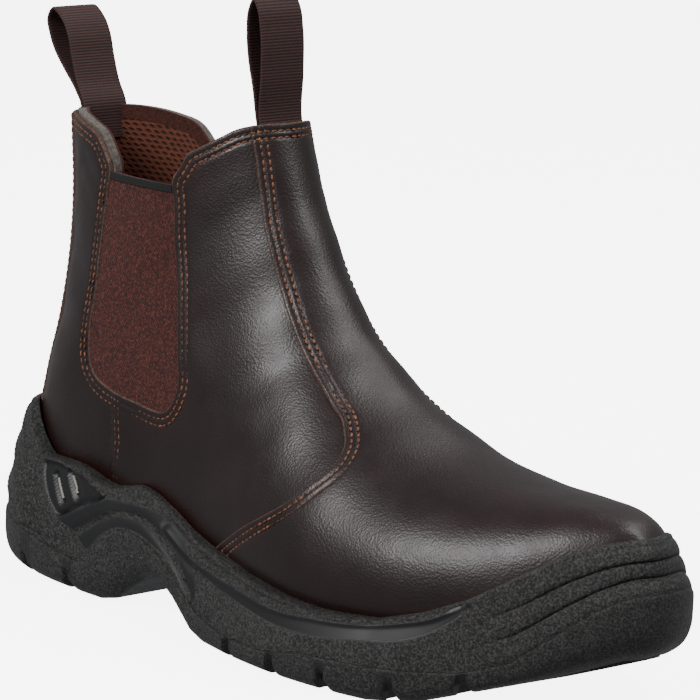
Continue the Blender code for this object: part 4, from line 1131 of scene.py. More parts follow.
def build_upper_panels():
    """Vamp with its front strip, quarters and back stay."""
    pattern = PATTERN
    materials = [polished_leather(), raw_leather_edge()]
    inner = OVERLAY_STEP + UPPER_WALL

    def vamp_depth(places, points):
        edge = pattern.from_vamp_edge(places)
        rim = pattern.from_collar(places)
        depth = edge_drop(np.minimum(edge, rim)) + stitch_pull(edge) + stitch_pull(rim)
        depth += crease_depth(points)
        worn = mound(edge, VAMP_WORN)
        return depth, {"edge": np.minimum(edge, rim), "near_lip": lip_closeness(points), "worn": worn}

    def quarter_depth(places, points):
        rim = pattern.from_collar(places)
        ahead = side_seam(places)
        lap = LAP_STEP * smooth_step(ahead, -LAP_HALF, LAP_HALF) * (1 - smooth_step(ahead, *LAP_FADE))
        lap = lap * (points[:, 2] < SIDE_SEAM[0, 1] + SEAM_TOP_ROOM)
        depth = OVERLAY_STEP + edge_drop(rim) + stitch_pull(rim) + crease_depth(points) - lap
        depth += 0.6 * stitch_pull(np.abs(ahead) + 0.6 * MM) * (ahead > 0)
        worn = 0.8 * mound(rim, EDGE_WORN)
        return depth, {"edge": rim, "near_lip": lip_closeness(points), "worn": worn}

    def stay_depth(places, points):
        edge = pattern.from_stay_edge(places)
        rim = pattern.from_collar(places)
        near = np.minimum(edge, rim)
        depth = STAY_INSET + edge_drop(near) + 0.5 * stitch_pull(edge + 0.8 * MM)
        return depth, {"edge": near, "near_lip": lip_closeness(points), "worn": 0.7 * mound(near, EDGE_WORN)}

    vamp = leather_panel("leather_vamp", pattern.sheet, pattern.vamp, vamp_depth, inner, materials)
    leather_panel("leather_quarters", pattern.sheet, pattern.quarters, quarter_depth, inner, materials)
    leather_panel("leather_back_stay", pattern.sheet, pattern.stay, stay_depth, inner, materials)
    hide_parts("upper")


# Sole: stations round the plan outline, and the relief of its side

def side_arc(side):
    """Distance round one side of the plan outline from the middle of the heel."""
    return chord_lengths(OUTLINE_SIDES[side])


# Features of the sole's side. On the heel, along is the distance round from its middle; elsewhere it
# is the length from the back of the last. Both, and up, are in millimetres.
HEEL_RIDGES = (
    ((22.0, 56.0), (30.0, 47.0), (37.0, 41.0), (42.0, 35.0), (47.0, 28.4), (50.4, 23.3), (54.0, 18.5)),
    ((15.0, 50.0), (24.0, 43.0), (30.5, 37.7), (37.0, 33.0), (41.0, 27.0), (45.0, 21.7), (47.0, 19.0)),
    ((8.0, 38.0), (17.0, 33.0), (26.0, 27.5), (34.0, 23.8), (37.0, 21.7), (44.0, 18.5)),
)
PANEL = ((45.5, 42.0), (47.0, 38.0), (52.0, 32.0), (57.0, 28.0), (61.5, 25.3), (73.0, 31.0),
         (83.0, 35.9), (79.0, 37.6), (72.0, 40.0), (64.0, 41.4), (54.0, 42.6))
WEDGE = ((61.5, 24.9), (67.0, 27.6), (73.0, 30.6), (84.5, 36.0))
UPPER_BAND = ((62.5, 24.4), (67.5, 23.3), (74.0, 22.3), (80.0, 26.0), (88.0, 31.2), (97.0, 34.4),
              (110.0, 34.9), (121.0, 31.5), (132.0, 26.5), (141.0, 20.5), (148.5, 14.0), (149.0, 16.0),
              (143.5, 24.0), (135.0, 31.5), (122.0, 37.0), (107.0, 38.0), (96.0, 37.2), (86.0, 35.6),
              (73.0, 29.8))
LOWER_BAND = ((75.5, 20.6), (81.0, 17.4), (87.5, 23.3), (97.0, 28.3), (106.0, 29.6), (120.0, 27.2),
              (133.0, 22.4), (146.0, 12.8), (140.0, 19.6), (131.0, 25.0), (121.0, 30.0), (110.0, 33.3),
              (98.0, 32.8), (88.5, 29.4), (80.0, 24.2))
RAND = ((125.0, 33.6), (142.0, 27.0), (169.0, 23.5), (192.0, 21.5), (211.0, 22.5), (227.0, 24.0),
        (243.0, 27.2), (259.0, 32.5), (266.0, 37.5), (266.5, 35.5), (260.0, 29.0), (248.0, 22.8),
        (229.0, 19.4), (213.0, 17.4), (194.0, 17.2), (172.0, 19.7), (144.0, 25.2), (128.0, 33.0))
SLOTS = (((55.0, 38.0), (62.6, 30.0)), ((63.0, 40.2), (69.6, 33.2)))
SLOT_WIDTH = 2.7
ARCH_GROOVE = ((73.5, 21.4), (79.0, 25.2), (83.0, 27.6), (90.0, 31.2), (97.0, 33.5), (105.0, 34.3),
               (112.5, 34.0), (124.0, 29.6), (134.6, 24.2), (146.0, 14.4))

# Relief of the sole's side in millimetres: how high or deep each form is, and its half width
RIDGE_RISE = 0.75
RIDGE_HALF = 1.1
VALLEY_DEPTH = 0.55
VALLEY_AWAY = 2.4
VALLEY_HALF = 1.3
HEEL_END = (60.0, 75.0)
PANEL_DEPTH = 1.1
WEDGE_DEPTH = 0.8
SLOT_DEPTH = 0.9
SLOT_RIM_RISE = 0.25
BAND_SOFT = 1.2
UPPER_BAND_RISE = 0.25
LOWER_BAND_RISE = 0.15
GROOVE_CUT = 1.0
GROOVE_HALF = 1.5
RAND_RISE = 0.1
CREST_RISE = 0.45
CREST_HALF = 0.9
CREST_VALLEY = 0.5
TOE_RIBS = 3
TOE_RIB_RISE = 0.9
TOE_RIBS_FROM = (246.0, 268.0)
# All of it is drawn this much stronger, as the real mould's forms are
RELIEF_GAIN = 1.25
# Points on the lines that the relief follows
RIDGE_POINTS = 40
CURVE_POINTS = 60


def soft_mask(points, outline, soft):
    """1 inside a closed outline and 0 outside it, with a soft edge, all in millimetres."""
    curve = np.asarray(outline, float)
    return smooth_step(signed_distance(points, curve), -0.5 * soft, 0.5 * soft)


OUTLINE_SPAN = {side: int(np.argmax(OUTLINE_SIDES[side][:, 0])) + 1 for side in (-1, 1)}


def rounded(points, steps=12):
    """A smooth closed outline through the points."""
    rows = np.vstack([points, points[:1]])
    return smooth_line(rows, steps * len(points))[:-1]


class SoleSide:
    """The midsole's side on both sides of the boot, as a ring of stations round the outline."""

    def __init__(self):
        lateral = resample(OUTLINE_SIDES[-1], int(side_arc(-1)[-1] / SOLE_STEP) + 1)
        medial = resample(OUTLINE_SIDES[1], len(lateral))
        self.half = len(lateral)
        self.base = np.vstack([lateral, medial[1:-1][::-1]])
        self.count = len(self.base)
        arcs = np.concatenate([chord_lengths(lateral), chord_lengths(medial)[1:-1][::-1]])
        self.arc = arcs / MM
        self.side = np.array([-1] * len(lateral) + [1] * (len(medial) - 2))
        ahead = np.roll(self.base, -1, axis=0) - np.roll(self.base, 1, axis=0)
        normals = np.stack([ahead[:, 1], -ahead[:, 0]], axis=1)
        normals = normals / np.linalg.norm(normals, axis=1)[:, None]
        if np.sum(normals * (self.base - self.base.mean(axis=0))) < 0:
            normals = -normals
        self.normals = normals
        along = self.base[:, 0] / LAST_LENGTH
        self.lip = column(SOLE_SIDE, 1, along) * HEEL_HEIGHT
        self.joint = column(SOLE_SIDE, 2, along) * HEEL_HEIGHT
        self.lip_out = column(SOLE_SIDE, 5, along) * SOLE_FLARE
        self.joint_out = column(SOLE_SIDE, 6, along) * SOLE_FLARE
        self.tread_out = column(SOLE_SIDE, 7, along) * SOLE_FLARE
        self.bulge = column(SOLE_SIDE, 8, along)
        for name in ("lip", "joint", "lip_out", "joint_out", "tread_out"):
            values = getattr(self, name)
            for _ in range(6):
                values = 0.25 * np.roll(values, 1) + 0.5 * values + 0.25 * np.roll(values, -1)
            setattr(self, name, values)

    def point(self, k, out, z):
        base = self.base[k] + self.normals[k] * np.asarray(out)[..., None]
        return np.concatenate([base, np.asarray(z)[..., None]], axis=-1)

    def leather_out(self, k, z, start=0.04):
        """How far outside the outline the leather lies at a height."""
        x, y = self.base[k] + self.normals[k] * start
        hit = LAST_TREE.ray_cast(Vector((x, y, z)), Vector((-self.normals[k][0], -self.normals[k][1], 0)))
        return None if hit[0] is None else start - hit[3]


SOLE = SoleSide()


def relief(arc, x, z, share):
    """Outward relief of the midsole's side in millimetres, and its smoothness from 0 to 1.

    arc is the distance round from the middle of the heel and x the length along the boot.
    """
    place = np.stack([arc, z], axis=1)
    height = np.zeros(len(arc))
    for ridge in HEEL_RIDGES:
        curve = smooth_line(ridge, RIDGE_POINTS)
        gap = line_distance(place, curve)
        lean = arc + z - np.interp(z, curve[::-1, 1], curve[::-1].sum(axis=1))
        height += RIDGE_RISE * mound(gap, RIDGE_HALF)
        height -= VALLEY_DEPTH * mound(gap - VALLEY_AWAY, VALLEY_HALF) * (lean < 0)
    height *= 1 - smooth_step(arc, *HEEL_END)
    panel = soft_mask(place, rounded(PANEL), 1.0)
    height = height * (1 - panel) - PANEL_DEPTH * panel
    smooth = panel
    wide = np.interp(arc, (61.0, 72.0, 84.0), (0.6, 1.5, 0.5))
    height -= WEDGE_DEPTH * mound(line_distance(place, np.asarray(WEDGE)), wide)
    for slot in SLOTS:
        gap = line_distance(place, np.asarray(slot))
        height -= SLOT_DEPTH * (1 - smooth_step(gap, 0.32 * SLOT_WIDTH, 0.62 * SLOT_WIDTH))
        height += SLOT_RIM_RISE * mound(gap - 0.75 * SLOT_WIDTH, 0.5)
    for outline, lift in ((UPPER_BAND, UPPER_BAND_RISE), (LOWER_BAND, LOWER_BAND_RISE)):
        mask = soft_mask(place, rounded(outline), BAND_SOFT)
        height = height * (1 - mask) + lift * mask
        smooth = np.maximum(smooth, mask)
    gap = line_distance(place, smooth_line(ARCH_GROOVE, CURVE_POINTS))
    height -= GROOVE_CUT * mound(gap, GROOVE_HALF)
    smooth = smooth * (1 - mound(gap, 0.8 * GROOVE_HALF))
    rand = soft_mask(place, rounded(RAND), BAND_SOFT)
    height = height * (1 - rand) + RAND_RISE * rand
    smooth = np.maximum(smooth, rand)
    crest_gap = line_distance(place, smooth_line(RAND[:9], CURVE_POINTS))
    height += CREST_RISE * mound(crest_gap, CREST_HALF)
    height -= CREST_VALLEY * mound(crest_gap - 2.3, 1.2) * (1 - rand)
    rib = np.abs(np.mod(TOE_RIBS * share, 1.0) - 0.5) * 2
    wave = TOE_RIB_RISE * (np.sqrt(np.clip(1 - rib ** 2.4, 0, 1)) - 0.5)
    return height + smooth_step(x, *TOE_RIBS_FROM) * wave, smooth


def side_out(k, share):
    """How far outside the outline the midsole's side stands, from its joint (0) to its lip (1)."""
    fall = 1.0 - share
    swell = np.sin(0.5 * math.pi * fall) - fall
    return SOLE.lip_out[k] + (SOLE.joint_out[k] - SOLE.lip_out[k]) * (fall + SOLE.bulge[k] * swell)


# Rows of points up the midsole's side
SIDE_ROWS = 40
# Shares of the side's height where the relief is full, and from where the leather pushes it out
RELIEF_FROM = 0.05
RELIEF_TO = 0.93
PUSH_FROM = 0.2
# The lip's rounded top: its turns in degrees, its height and least width, and its inner wall
LIP_TURNS = (18, 38, 58, 78, 90)
LIP_RISE = 1.3 * MM
LIP_LEAST = 0.8 * MM
LIP_INNER_DROP = 2.5 * MM
LIP_INNER_SET = 0.4 * MM


def build_midsole():
    """The rubber cup: its side with ribs, panel and bands, its rounded lip and its inner wall."""
    shares = np.linspace(0.0, 1.0, SIDE_ROWS)
    columns = []
    for k in range(SOLE.count):
        z = SOLE.joint[k] + shares * (SOLE.lip[k] - SOLE.joint[k])
        out = side_out(k, shares)
        leather = SOLE.leather_out(k, z[-1])
        if leather is not None:
            push = max(leather + LIP_WALL - out[-1], 0.0)
            out = out + push * smooth_step(shares, PUSH_FROM, 1.0)
        columns.append((out, z))
    out = np.array([c[0] for c in columns])
    z = np.array([c[1] for c in columns])
    arc = np.repeat(SOLE.arc[:, None], SIDE_ROWS, axis=1)
    x = np.repeat(SOLE.base[:, :1] / MM, SIDE_ROWS, axis=1)
    height, smooth = relief(arc.ravel(), x.ravel(), z.ravel() / MM, np.tile(shares, SOLE.count))
    height = height.reshape(out.shape)
    smooth = smooth.reshape(out.shape)
    fade = smooth_step(shares, 0.0, RELIEF_FROM) * (1 - smooth_step(shares, RELIEF_TO, 1.0))
    out = out + height * fade * MM * RELIEF_GAIN
    vertices = []
    numbers = []
    for k in range(SOLE.count):
        side = SOLE.point(k, out[k], z[k])
        lip = []
        reach = SOLE.leather_out(k, z[k, -1] + LIP_LEAST)
        reach = out[k, -1] - 1.5 * MM if reach is None else reach
        width = max(out[k, -1] - reach, LIP_LEAST)
        for turn in LIP_TURNS:
            angle = math.radians(turn)
            lip.append(SOLE.point(k, out[k, -1] - width * (1 - math.cos(angle)),
                                  z[k, -1] + LIP_RISE * math.sin(angle)))
        low = SOLE.point(k, out[k, -1] - width - LIP_INNER_SET, z[k, -1] - LIP_INNER_DROP)
        foot = SOLE.point(k, out[k, 0] - OUTSOLE_RIM, SOLE.joint[k])
        vertices.append(np.vstack([foot, side, lip, low]))
        numbers.append(np.concatenate([[0.0], smooth[k], np.zeros(len(lip) + 1)]))
    levels = len(vertices[0])
    vertices = np.array(vertices).reshape(-1, 3)
    faces = []
    for k in range(SOLE.count):
        n = (k + 1) % SOLE.count
        for level in range(levels):
            up = (level + 1) % levels
            faces.append((k * levels + level, n * levels + level, n * levels + up, k * levels + up))
    rubber = moulded_rubber("Stippled black polyurethane", 0.8, 0.75, 0.42)
    midsole = add_piece("rubber_midsole", vertices, faces, [rubber],
                        {"smooth": np.concatenate(numbers)})
    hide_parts("midsole")


def pale_pad():
    """Cast pale grey polyurethane, plain and half glossy, seen only as a light bar in each slot."""
    material = new_material("Pale grey polyurethane", 0.4)
    finish(material, "#8f8b82")
    return material


# The pads in the slots: how far behind the side they lie, their radius and the points round them
PAD_DEPTH = 2.35 * MM
PAD_RADIUS = 0.62 * MM
PAD_RING = 8


def build_inserts():
    """Small pale pads at the bottom of the two slots on each side of the heel."""
    vertices = []
    faces = []
    for side in (-1, 1):
        for start, end in SLOTS:
            path = []
            for arc, z in np.linspace(start, end, 9)[1:-1]:
                k = int(np.argmin(np.abs(SOLE.arc - arc) + 1e3 * (SOLE.side != side)))
                share = (z * MM - SOLE.joint[k]) / (SOLE.lip[k] - SOLE.joint[k])
                path.append(SOLE.point(k, side_out(k, share) - PAD_DEPTH, z * MM))
            first = len(vertices)
            for point, way in zip(path, np.gradient(np.array(path), axis=0)):
                way = way / np.linalg.norm(way)
                side_way = np.cross(way, (0.0, 0.0, 1.0))
                side_way = side_way / np.linalg.norm(side_way)
                other = np.cross(way, side_way)
                for turn in range(PAD_RING):
                    angle = 2 * math.pi * turn / PAD_RING
                    spoke = math.cos(angle) * side_way + math.sin(angle) * other
                    vertices.append(point + PAD_RADIUS * spoke)
            faces += ring_faces(len(path), PAD_RING, first) + end_faces(len(path), PAD_RING, first)
    add_piece("slot_inserts", vertices, faces, [pale_pad()])


def tread_height(x):
    """Underside of the sole along its length: heel, arch, ball and toe spring."""
    along = np.asarray(x) / LAST_LENGTH
    return column(SOLE_SIDE, 3, along) * HEEL_HEIGHT + column(SOLE_SIDE, 4, along) * TOE_SPRING


def groove_height(x):
    """Bottom of the grooves, which get shallower where the sole thins at the toe."""
    roof = floor_height(x) - SOLE_LEAST
    return np.minimum(tread_height(x) + LUG_DEPTH, np.maximum(roof, tread_height(x) + MM))


# How far each groove leans forward at the sides, in millimetres, and the notches at its ends
GROOVE_LEANS = (15.0, 11.0, 6.0, 5.0, 0.0, 0.0, 0.0)
GROOVE_WALL = 0.4 * MM
SIDE_NOTCH = 2.4 * MM
SIDE_NOTCH_TOP = 9.0 * MM
SIDE_GROOVE_CUT = 1.2 * MM
# Least thickness of the sole above a groove
SOLE_LEAST = 4.45 * MM
# Width of the long channels and of their walls, as shares of the sole's width
CHANNEL_SHARE = 0.045
CHANNEL_WALL = 0.002
# Side of the tread from its underside to the joint
TREAD_PROFILE = (
    # share of the way out, inset in millimetres, share of the way up
    (0.00, 0.00, 0.000),
    (0.22, 0.00, 0.030),
    (0.62, 0.00, 0.160),
    (0.86, 0.00, 0.320),
    (1.00, 0.10, 0.550),
    (1.00, 0.00, 0.800),
    (1.00, 0.00, 0.955),
    (1.00, 0.35, 1.000),
)
TREAD_ROWS = 19
JOINT_GAP = 0.1 * MM
# The tread's mesh: stations along it and columns across it, with more beside the grooves' walls, in
# millimetres, and beside the channels' walls and the rim, as shares of the width
TREAD_STATIONS = 430
TREAD_COLUMNS = 33
TREAD_RIM = 0.008
GROOVE_STEPS = (-0.9, -0.3, -0.24, 0.24, 0.3, 0.9)
CHANNEL_STEPS = (-0.006, -0.0012, 0.0012, 0.006)
CHANNEL_END = 0.02
# How polished the mould was in the grooves' ends
GROOVE_SMOOTH = 0.6


def groove_depth(x, y, width=GROOVE_WIDTH):
    """0 on a lug and 1 in a cross groove, with steep walls. The grooves lean forward at the sides."""
    deep = np.zeros(np.shape(x))
    for groove, lean in zip(GROOVES, GROOVE_LEANS):
        gap = np.abs(x - groove * LAST_LENGTH - lean * MM * np.abs(y) / (0.5 * BALL_WIDTH))
        wall = smooth_step(gap, 0.5 * width - GROOVE_WALL, 0.5 * width + GROOVE_WALL)
        deep = np.maximum(deep, 1 - wall)
    return deep


def tread_side(base, normal, k):
    """One side of the tread from its underside to the joint, with the grooves' ends cut in."""
    table = np.array(TREAD_PROFILE)
    joint = SOLE.joint[k] - JOINT_GAP
    reach = SOLE.tread_out[k]
    out = SOLE.joint_out[k] + OUTSOLE_PROUD
    tread = float(tread_height(base[0]))
    profile = np.column_stack([reach + table[:, 0] * (out - reach) - table[:, 1] * MM, table[:, 2]])
    fine = spline(np.arange(len(table)), profile, np.linspace(0.0, len(table) - 1, TREAD_ROWS))
    heights = tread + fine[:, 1] * (joint - tread)
    floor = float(groove_height(base[0]))
    shallow = np.clip((floor - heights) / max(floor - tread, 1e-6), 0.0, 1.0)
    deep = float(groove_depth(base[0], base[1]))
    notch = float(groove_depth(base[0], base[1], 0.55 * GROOVE_WIDTH))
    fade = 1.0 - smooth_step(heights - tread, 0.5 * SIDE_NOTCH_TOP, SIDE_NOTCH_TOP)
    outs = fine[:, 0] - deep * shallow * SIDE_GROOVE_CUT - notch * fade * SIDE_NOTCH
    heights = np.where(heights < floor, heights + deep * (floor - heights), heights)
    outs = np.append(outs, out - OUTSOLE_RIM)
    heights = np.append(heights, joint)
    return np.column_stack([base[0] + normal[0] * outs, base[1] + normal[1] * outs, heights])


def tread_stations(lateral, along):
    """Shares of the way round at which the tread is cut across, closer together at the grooves."""
    ahead = OUTLINE_SPAN[-1]
    shares = list(np.linspace(0.0, 1.0, TREAD_STATIONS))
    for groove in GROOVES:
        for edge in (-0.5, 0.5):
            for step in GROOVE_STEPS:
                x = groove * LAST_LENGTH + edge * GROOVE_WIDTH + step * MM
                shares.append(float(np.interp(x, lateral[:ahead, 0], along[:ahead])))
    shares = np.array(sorted(shares))
    return shares[np.concatenate([[True], np.diff(shares) > 1e-5])]


def build_outsole():
    """The tread with its lugs, and its stippled side up to the joint."""
    sides = []
    for side in (-1, 1):
        line = OUTLINE_SIDES[side]
        sides.append((line, chord_lengths(line) / chord_lengths(line)[-1]))
    extra = [channel + side * 0.5 * CHANNEL_SHARE + step for channel in CHANNEL_SHARES
             for side in (-1, 1) for step in CHANNEL_STEPS]
    across = np.concatenate([np.linspace(0.0, 1.0, TREAD_COLUMNS), extra, (TREAD_RIM, 1.0 - TREAD_RIM)])
    across = np.sort(across)[1:-1]
    sections = []
    smooth = []
    for share in tread_stations(*sides[0]):
        rows = []
        for line, steps in sides:
            base = np.array([np.interp(share, steps, line[:, k]) for k in (0, 1)])
            nearest = int(np.argmin(np.linalg.norm(SOLE.base - base, axis=1)))
            rows.append(tread_side(base, SOLE.normals[nearest], nearest))
        left, right = rows
        start, end = left[0], right[0]
        flat = start[None] + across[:, None] * (end - start)[None]
        x = flat[:, 0]
        deep = groove_depth(x, flat[:, 1])
        in_arch = (tread_height(x) > 0.2 * LUG_DEPTH) & (x < 0.5 * LAST_LENGTH)
        inside = CHANNEL_END <= share <= 1.0 - CHANNEL_END
        for channel in CHANNEL_SHARES:
            gap = np.abs(across - channel)
            half = 0.5 * CHANNEL_SHARE
            wall = 1 - smooth_step(gap, half - CHANNEL_WALL, half + CHANNEL_WALL)
            deep = np.maximum(deep, wall * ~in_arch * inside)
        low = tread_height(x)
        flat[:, 2] = low + deep * (groove_height(x) - low)
        sections.append(np.vstack([left[::-1], flat, right]))
        ends = [np.full(len(left), GROOVE_SMOOTH * float(groove_depth(foot[0], foot[1])))
                for foot in (start, end)]
        smooth.append(np.concatenate([ends[0], deep, ends[1]]))
    rows, count = len(sections), len(sections[0])
    vertices = np.array(sections).reshape(-1, 3)
    faces = ring_faces(rows, count) + end_faces(rows, count)
    rubber = moulded_rubber("Stippled black nitrile rubber", 0.75, 0.7, 0.44)
    outsole = add_piece("rubber_outsole", vertices, faces, [rubber],
                        {"smooth": np.concatenate(smooth)})
    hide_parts("outsole")


# Gores, lining, felt and insole

def shell(name, faces, outer, inner, materials, slot, numbers=None):
    """A closed piece between two depths below the last's surface, over faces of the sheet."""
    sheet = PATTERN.sheet
    places = np.array(sheet.places)
    used = sorted({index for face in faces for index in face})
    new = {index: k for k, index in enumerate(used)}
    points = LAST.at(places[used])
    normals = LAST.normal_at(places[used])
    sides = []
    for depth in (outer, inner):
        depth = depth(points) if callable(depth) else np.full(len(points), depth)
        side = points - normals * depth[:, None]
        side[:, 2] = np.maximum(side[:, 2], floor_height(side[:, 0]) + CLEARANCE)
        sides.append(side)
    count = len(used)
    polygons = [[new[i] for i in face] for face in faces]
    polygons += [[new[i] + count for i in reversed(face)] for face in faces]
    for a, b in open_edges(faces).items():
        polygons.append([new[b], new[a], new[a] + count, new[b] + count])
    values = {key: np.tile(value(points), 2) for key, value in (numbers or {}).items()}
    return add_piece(name, np.vstack(sides), polygons, materials, values)


GORE_DEPTH = OVERLAY_STEP + 0.6 * MM
LINING_DEPTH = 3.3 * MM
FELT_REACH = 7.0 * MM
FELT_DEPTH = UPPER_WALL + OVERLAY_STEP + 0.1 * MM
FELT_INNER = LINING_DEPTH + 2.5 * MM
KNIT_EDGE_DEPTHS = (LINING_DEPTH + 2.6 * MM, LINING_DEPTH + 3.4 * MM)
KNIT_EDGE_REACH = 4.0 * MM
# Where the collar's padding fades out below the rim, and how far below the gores' tops things end
PADDING_FADE = (3 * MM, 22 * MM)
LINING_TOP_DROP = 1.5 * MM
FELT_LOW = 6 * MM
FELT_FRONT = 0.2 * LAST_LENGTH
# How far the tape stands out before and behind the elastic
TAPE_PROUD = 0.5 * MM
TAPE_BEHIND = 0.4 * MM
# Length of the shaft's middle along the last, and its mean radius in millimetres
SHAFT_MIDDLE = 0.26
SHAFT_RADIUS = 42.0


def height_above(height):
    return lambda places: LAST.at(places)[:, 2] - height


def woven_elastic():
    """Elastic gore cloth: rust and dark brown yarns in a fine twill, matt.

    The twill is drawn a little coarser than the real cloth, so that it shows.
    """
    material = new_material("Woven brown elastic", 0.85, sheen=0.04)
    place = millimetres(material)
    twill = add_node(material, WAVES, "Fac", SLANTED, Vector=place, Scale=0.42, Distortion=0.8, Detail=2.0,
                     Detail_Scale=1.5)
    speck = add_node(material, NOISE, "Fac", Vector=place, Scale=1.0 / 0.9, Detail=3.0, Roughness=0.7)
    yarns = ((0.38, "#2a0d08"), (0.5, colours().elastic), (0.62, "#74342a"))
    tone = add_node(material, RAMP, "Color", stops=yarns, Fac=speck)
    shade = add_node(material, RAMP, "Color", stops=((0.2, 0.55), (0.7, 0.0)), Fac=twill)
    tone = add_node(material, MIX, 2, OF_COLOURS, n0=shade, n6=tone, n7="#1f0a07")
    ribs = add_node(material, BUMP, "Normal", Height=twill, Distance=0.2 * MM)
    finish(material, tone, add_node(material, BUMP, "Normal", Height=speck, Distance=0.12 * MM, Normal=ribs))
    return material


def black_tape():
    """Flat black nylon binding tape, dull, with fine crosswise ribs, painted a little darker between them
    as painted shade.
    """
    material = new_material("Black nylon tape", 0.7, sheen=0.02)
    ribs = add_node(material, WAVES, "Fac", CROSSWISE, Vector=millimetres(material), Scale=0.55)
    # Painted shade: the tape is painted a little darker in the hollows between its ribs.
    tone = add_node(material, RAMP, "Color", stops=((0.2, "#070707"), (0.9, "#151515")), Fac=ribs)
    finish(material, tone, add_node(material, BUMP, "Normal", Height=ribs, Distance=0.15 * MM))
    return material


def spacer_mesh():
    """Brown polyester spacer mesh: a knitted face with small holes in staggered rows 1.9 mm apart. The holes
    are painted darker, as painted shade, and the knit between them lighter, as painted highlight.
    """
    material = new_material("Brown spacer mesh", 0.9, sheen=0.05)
    around = add_node(material, STORED, "Fac", {"attribute_name": "around"})
    up = add_node(material, STORED, "Fac", {"attribute_name": "up"})
    flat = add_node(material, "ShaderNodeCombineXYZ", "Vector", X=around, Y=up)
    holes = add_node(material, CELLS, "Distance", {"feature": "F1", "voronoi_dimensions": "2D"}, Vector=flat,
                     Scale=1.0 / 1.9, Randomness=0.12)
    # Painted shade in the holes and painted highlight on the knit between them.
    yarns = ((0.14, "#2c120a"), (0.34, colours().lining), (0.62, "#7d4431"))
    tone = add_node(material, RAMP, "Color", stops=yarns, Fac=holes)
    fuzz = add_node(material, NOISE, "Fac", Vector=millimetres(material), Scale=1.0 / 1.1, Detail=3.0,
                    Roughness=0.7)
    shade = add_node(material, RAMP, "Color", stops=((0.4, 0.35), (0.7, 0.0)), Fac=fuzz)
    tone = add_node(material, MIX, 2, OF_COLOURS, n0=shade, n6=tone, n7="#2a110a")
    depth = add_node(material, RAMP, "Color", stops=((0.12, 0.0), (0.42, 1.0)), Fac=holes)
    finish(material, tone, add_node(material, BUMP, "Normal", Height=depth, Distance=0.5 * MM))
    return material


def around_shaft(points):
    """Distance round the shaft in millimetres from the middle of the back, sheared to stagger rows."""
    angle = np.arctan2(points[:, 1], SHAFT_MIDDLE * LAST_LENGTH - points[:, 0])
    return angle * SHAFT_RADIUS + 0.5 * points[:, 2] / MM


def height_in_mm(points):
    return points[:, 2] / MM


def grey_felt():
    """Pressed grey wool felt, whose loose fibres blur its surface."""
    return speckled("Grey wool felt", 0.95, 0.1, (1.2, 4.0, 0.7), ((0.3, "#3a3530"), (0.7, "#756d64")),
                    (0.6, 3.0, 0.7), 0.35)


def fuzzy_edge():
    """Reddish brown cut edge of the lining's knit, fuzzy with loose yarn ends."""
    return speckled("Cut edge of rust knit", 0.95, 0.05, (0.9, 4.0, 0.7),
                    ((0.3, "#200c08"), (0.7, "#5a2a1e")), (0.7, 3.0, 0.7), 0.4)


def knit_cloth():
    """Brown knitted polyester cloth on the footbed, matt and mottled by its yarn."""
    return speckled("Brown knit cloth", 0.9, 0.0, (1.2, 3.0, 0.7), ((0.35, "#2a110a"), (0.65, "#4a2417")),
                    None, 0.0)


def build_gores():
    """Both elastic gores with the black tape on their top edges."""
    below = PATTERN.sheet.cut(PATTERN.opening, height_above(GORE_TOP))[1]
    places = np.array(PATTERN.sheet.places)
    cloth, taped = woven_elastic(), black_tape()
    for side, word in ((-1, "lateral"), (1, "medial")):
        faces = [face for face in below if side * LAST.at(places[face[:1]])[0, 1] > 0]
        behind = GORE_DEPTH + sizes().gore_thickness
        gore = shell("elastic_gore_" + word, faces, GORE_DEPTH, behind, [cloth], "elastic")
        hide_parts("gore_" + word)
        top = PATTERN.sheet.cut(faces, height_above(GORE_TOP - sizes().tape_width))[0]
        shell("tape_" + word, top, GORE_DEPTH - TAPE_PROUD, behind + TAPE_BEHIND, [taped], "webbing")
        places = np.array(PATTERN.sheet.places)


def from_rim(points):
    return line_distance(points, PATTERN.collar)


def build_lining():
    """Padded mesh lining of the leather and the gores, with the felt between it and the leather."""
    below = PATTERN.sheet.cut(PATTERN.opening, height_above(GORE_TOP - LINING_TOP_DROP))[1]
    leather = PATTERN.vamp + PATTERN.quarters + PATTERN.stay

    def pad(points):
        near = 1.0 - smooth_step(from_rim(points), *PADDING_FADE)
        rounded_top = edge_drop(np.minimum(from_rim(points), EDGE_ROUND))
        return LINING_DEPTH + sizes().lining_thickness + sizes().collar_padding * near - rounded_top

    shell("mesh_lining", leather + below, LINING_DEPTH, pad, [spacer_mesh()], None,
          {"around": around_shaft, "up": height_in_mm})
    cut = PATTERN.sheet.cut
    rise = sizes().felt_rise
    high = cut(PATTERN.opening, lambda places: rise - from_rim(LAST.at(places)))[0]
    low = cut(leather, lambda places: FELT_REACH - from_rim(LAST.at(places)))[0]
    band = cut(high + low, height_above(GORE_TOP - FELT_LOW))[0]
    rear = cut(band, lambda places: FELT_FRONT - LAST.at(places)[:, 0])[0]
    shell("felt_collar", rear, FELT_DEPTH, FELT_INNER, [grey_felt()], None)
    thin = cut(rear, lambda places: KNIT_EDGE_REACH - from_rim(LAST.at(places)))[0]
    shell("knit_edge", thin, *KNIT_EDGE_DEPTHS, [fuzzy_edge()], None)


def build_insole():
    """The foam footbed stays the plain solid, in brown knit cloth."""
    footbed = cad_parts["insole"]
    footbed.data.materials.clear()
    footbed.data.materials.append(knit_cloth())


# Stitches

def line_at(line, shift, hand):
    """A line moved sideways on the last's surface, to its one hand (-1) or the other (1)."""
    ahead = np.gradient(line, axis=0)
    ahead = ahead / np.linalg.norm(ahead, axis=1)[:, None]
    points = []
    for point, way in zip(line, ahead):
        near = LAST_TREE.find_nearest(Vector(point))
        normal = np.array(near[1])
        side = np.cross(normal, way)
        points.append(point + shift * hand * side / np.linalg.norm(side))
    return np.array(points)


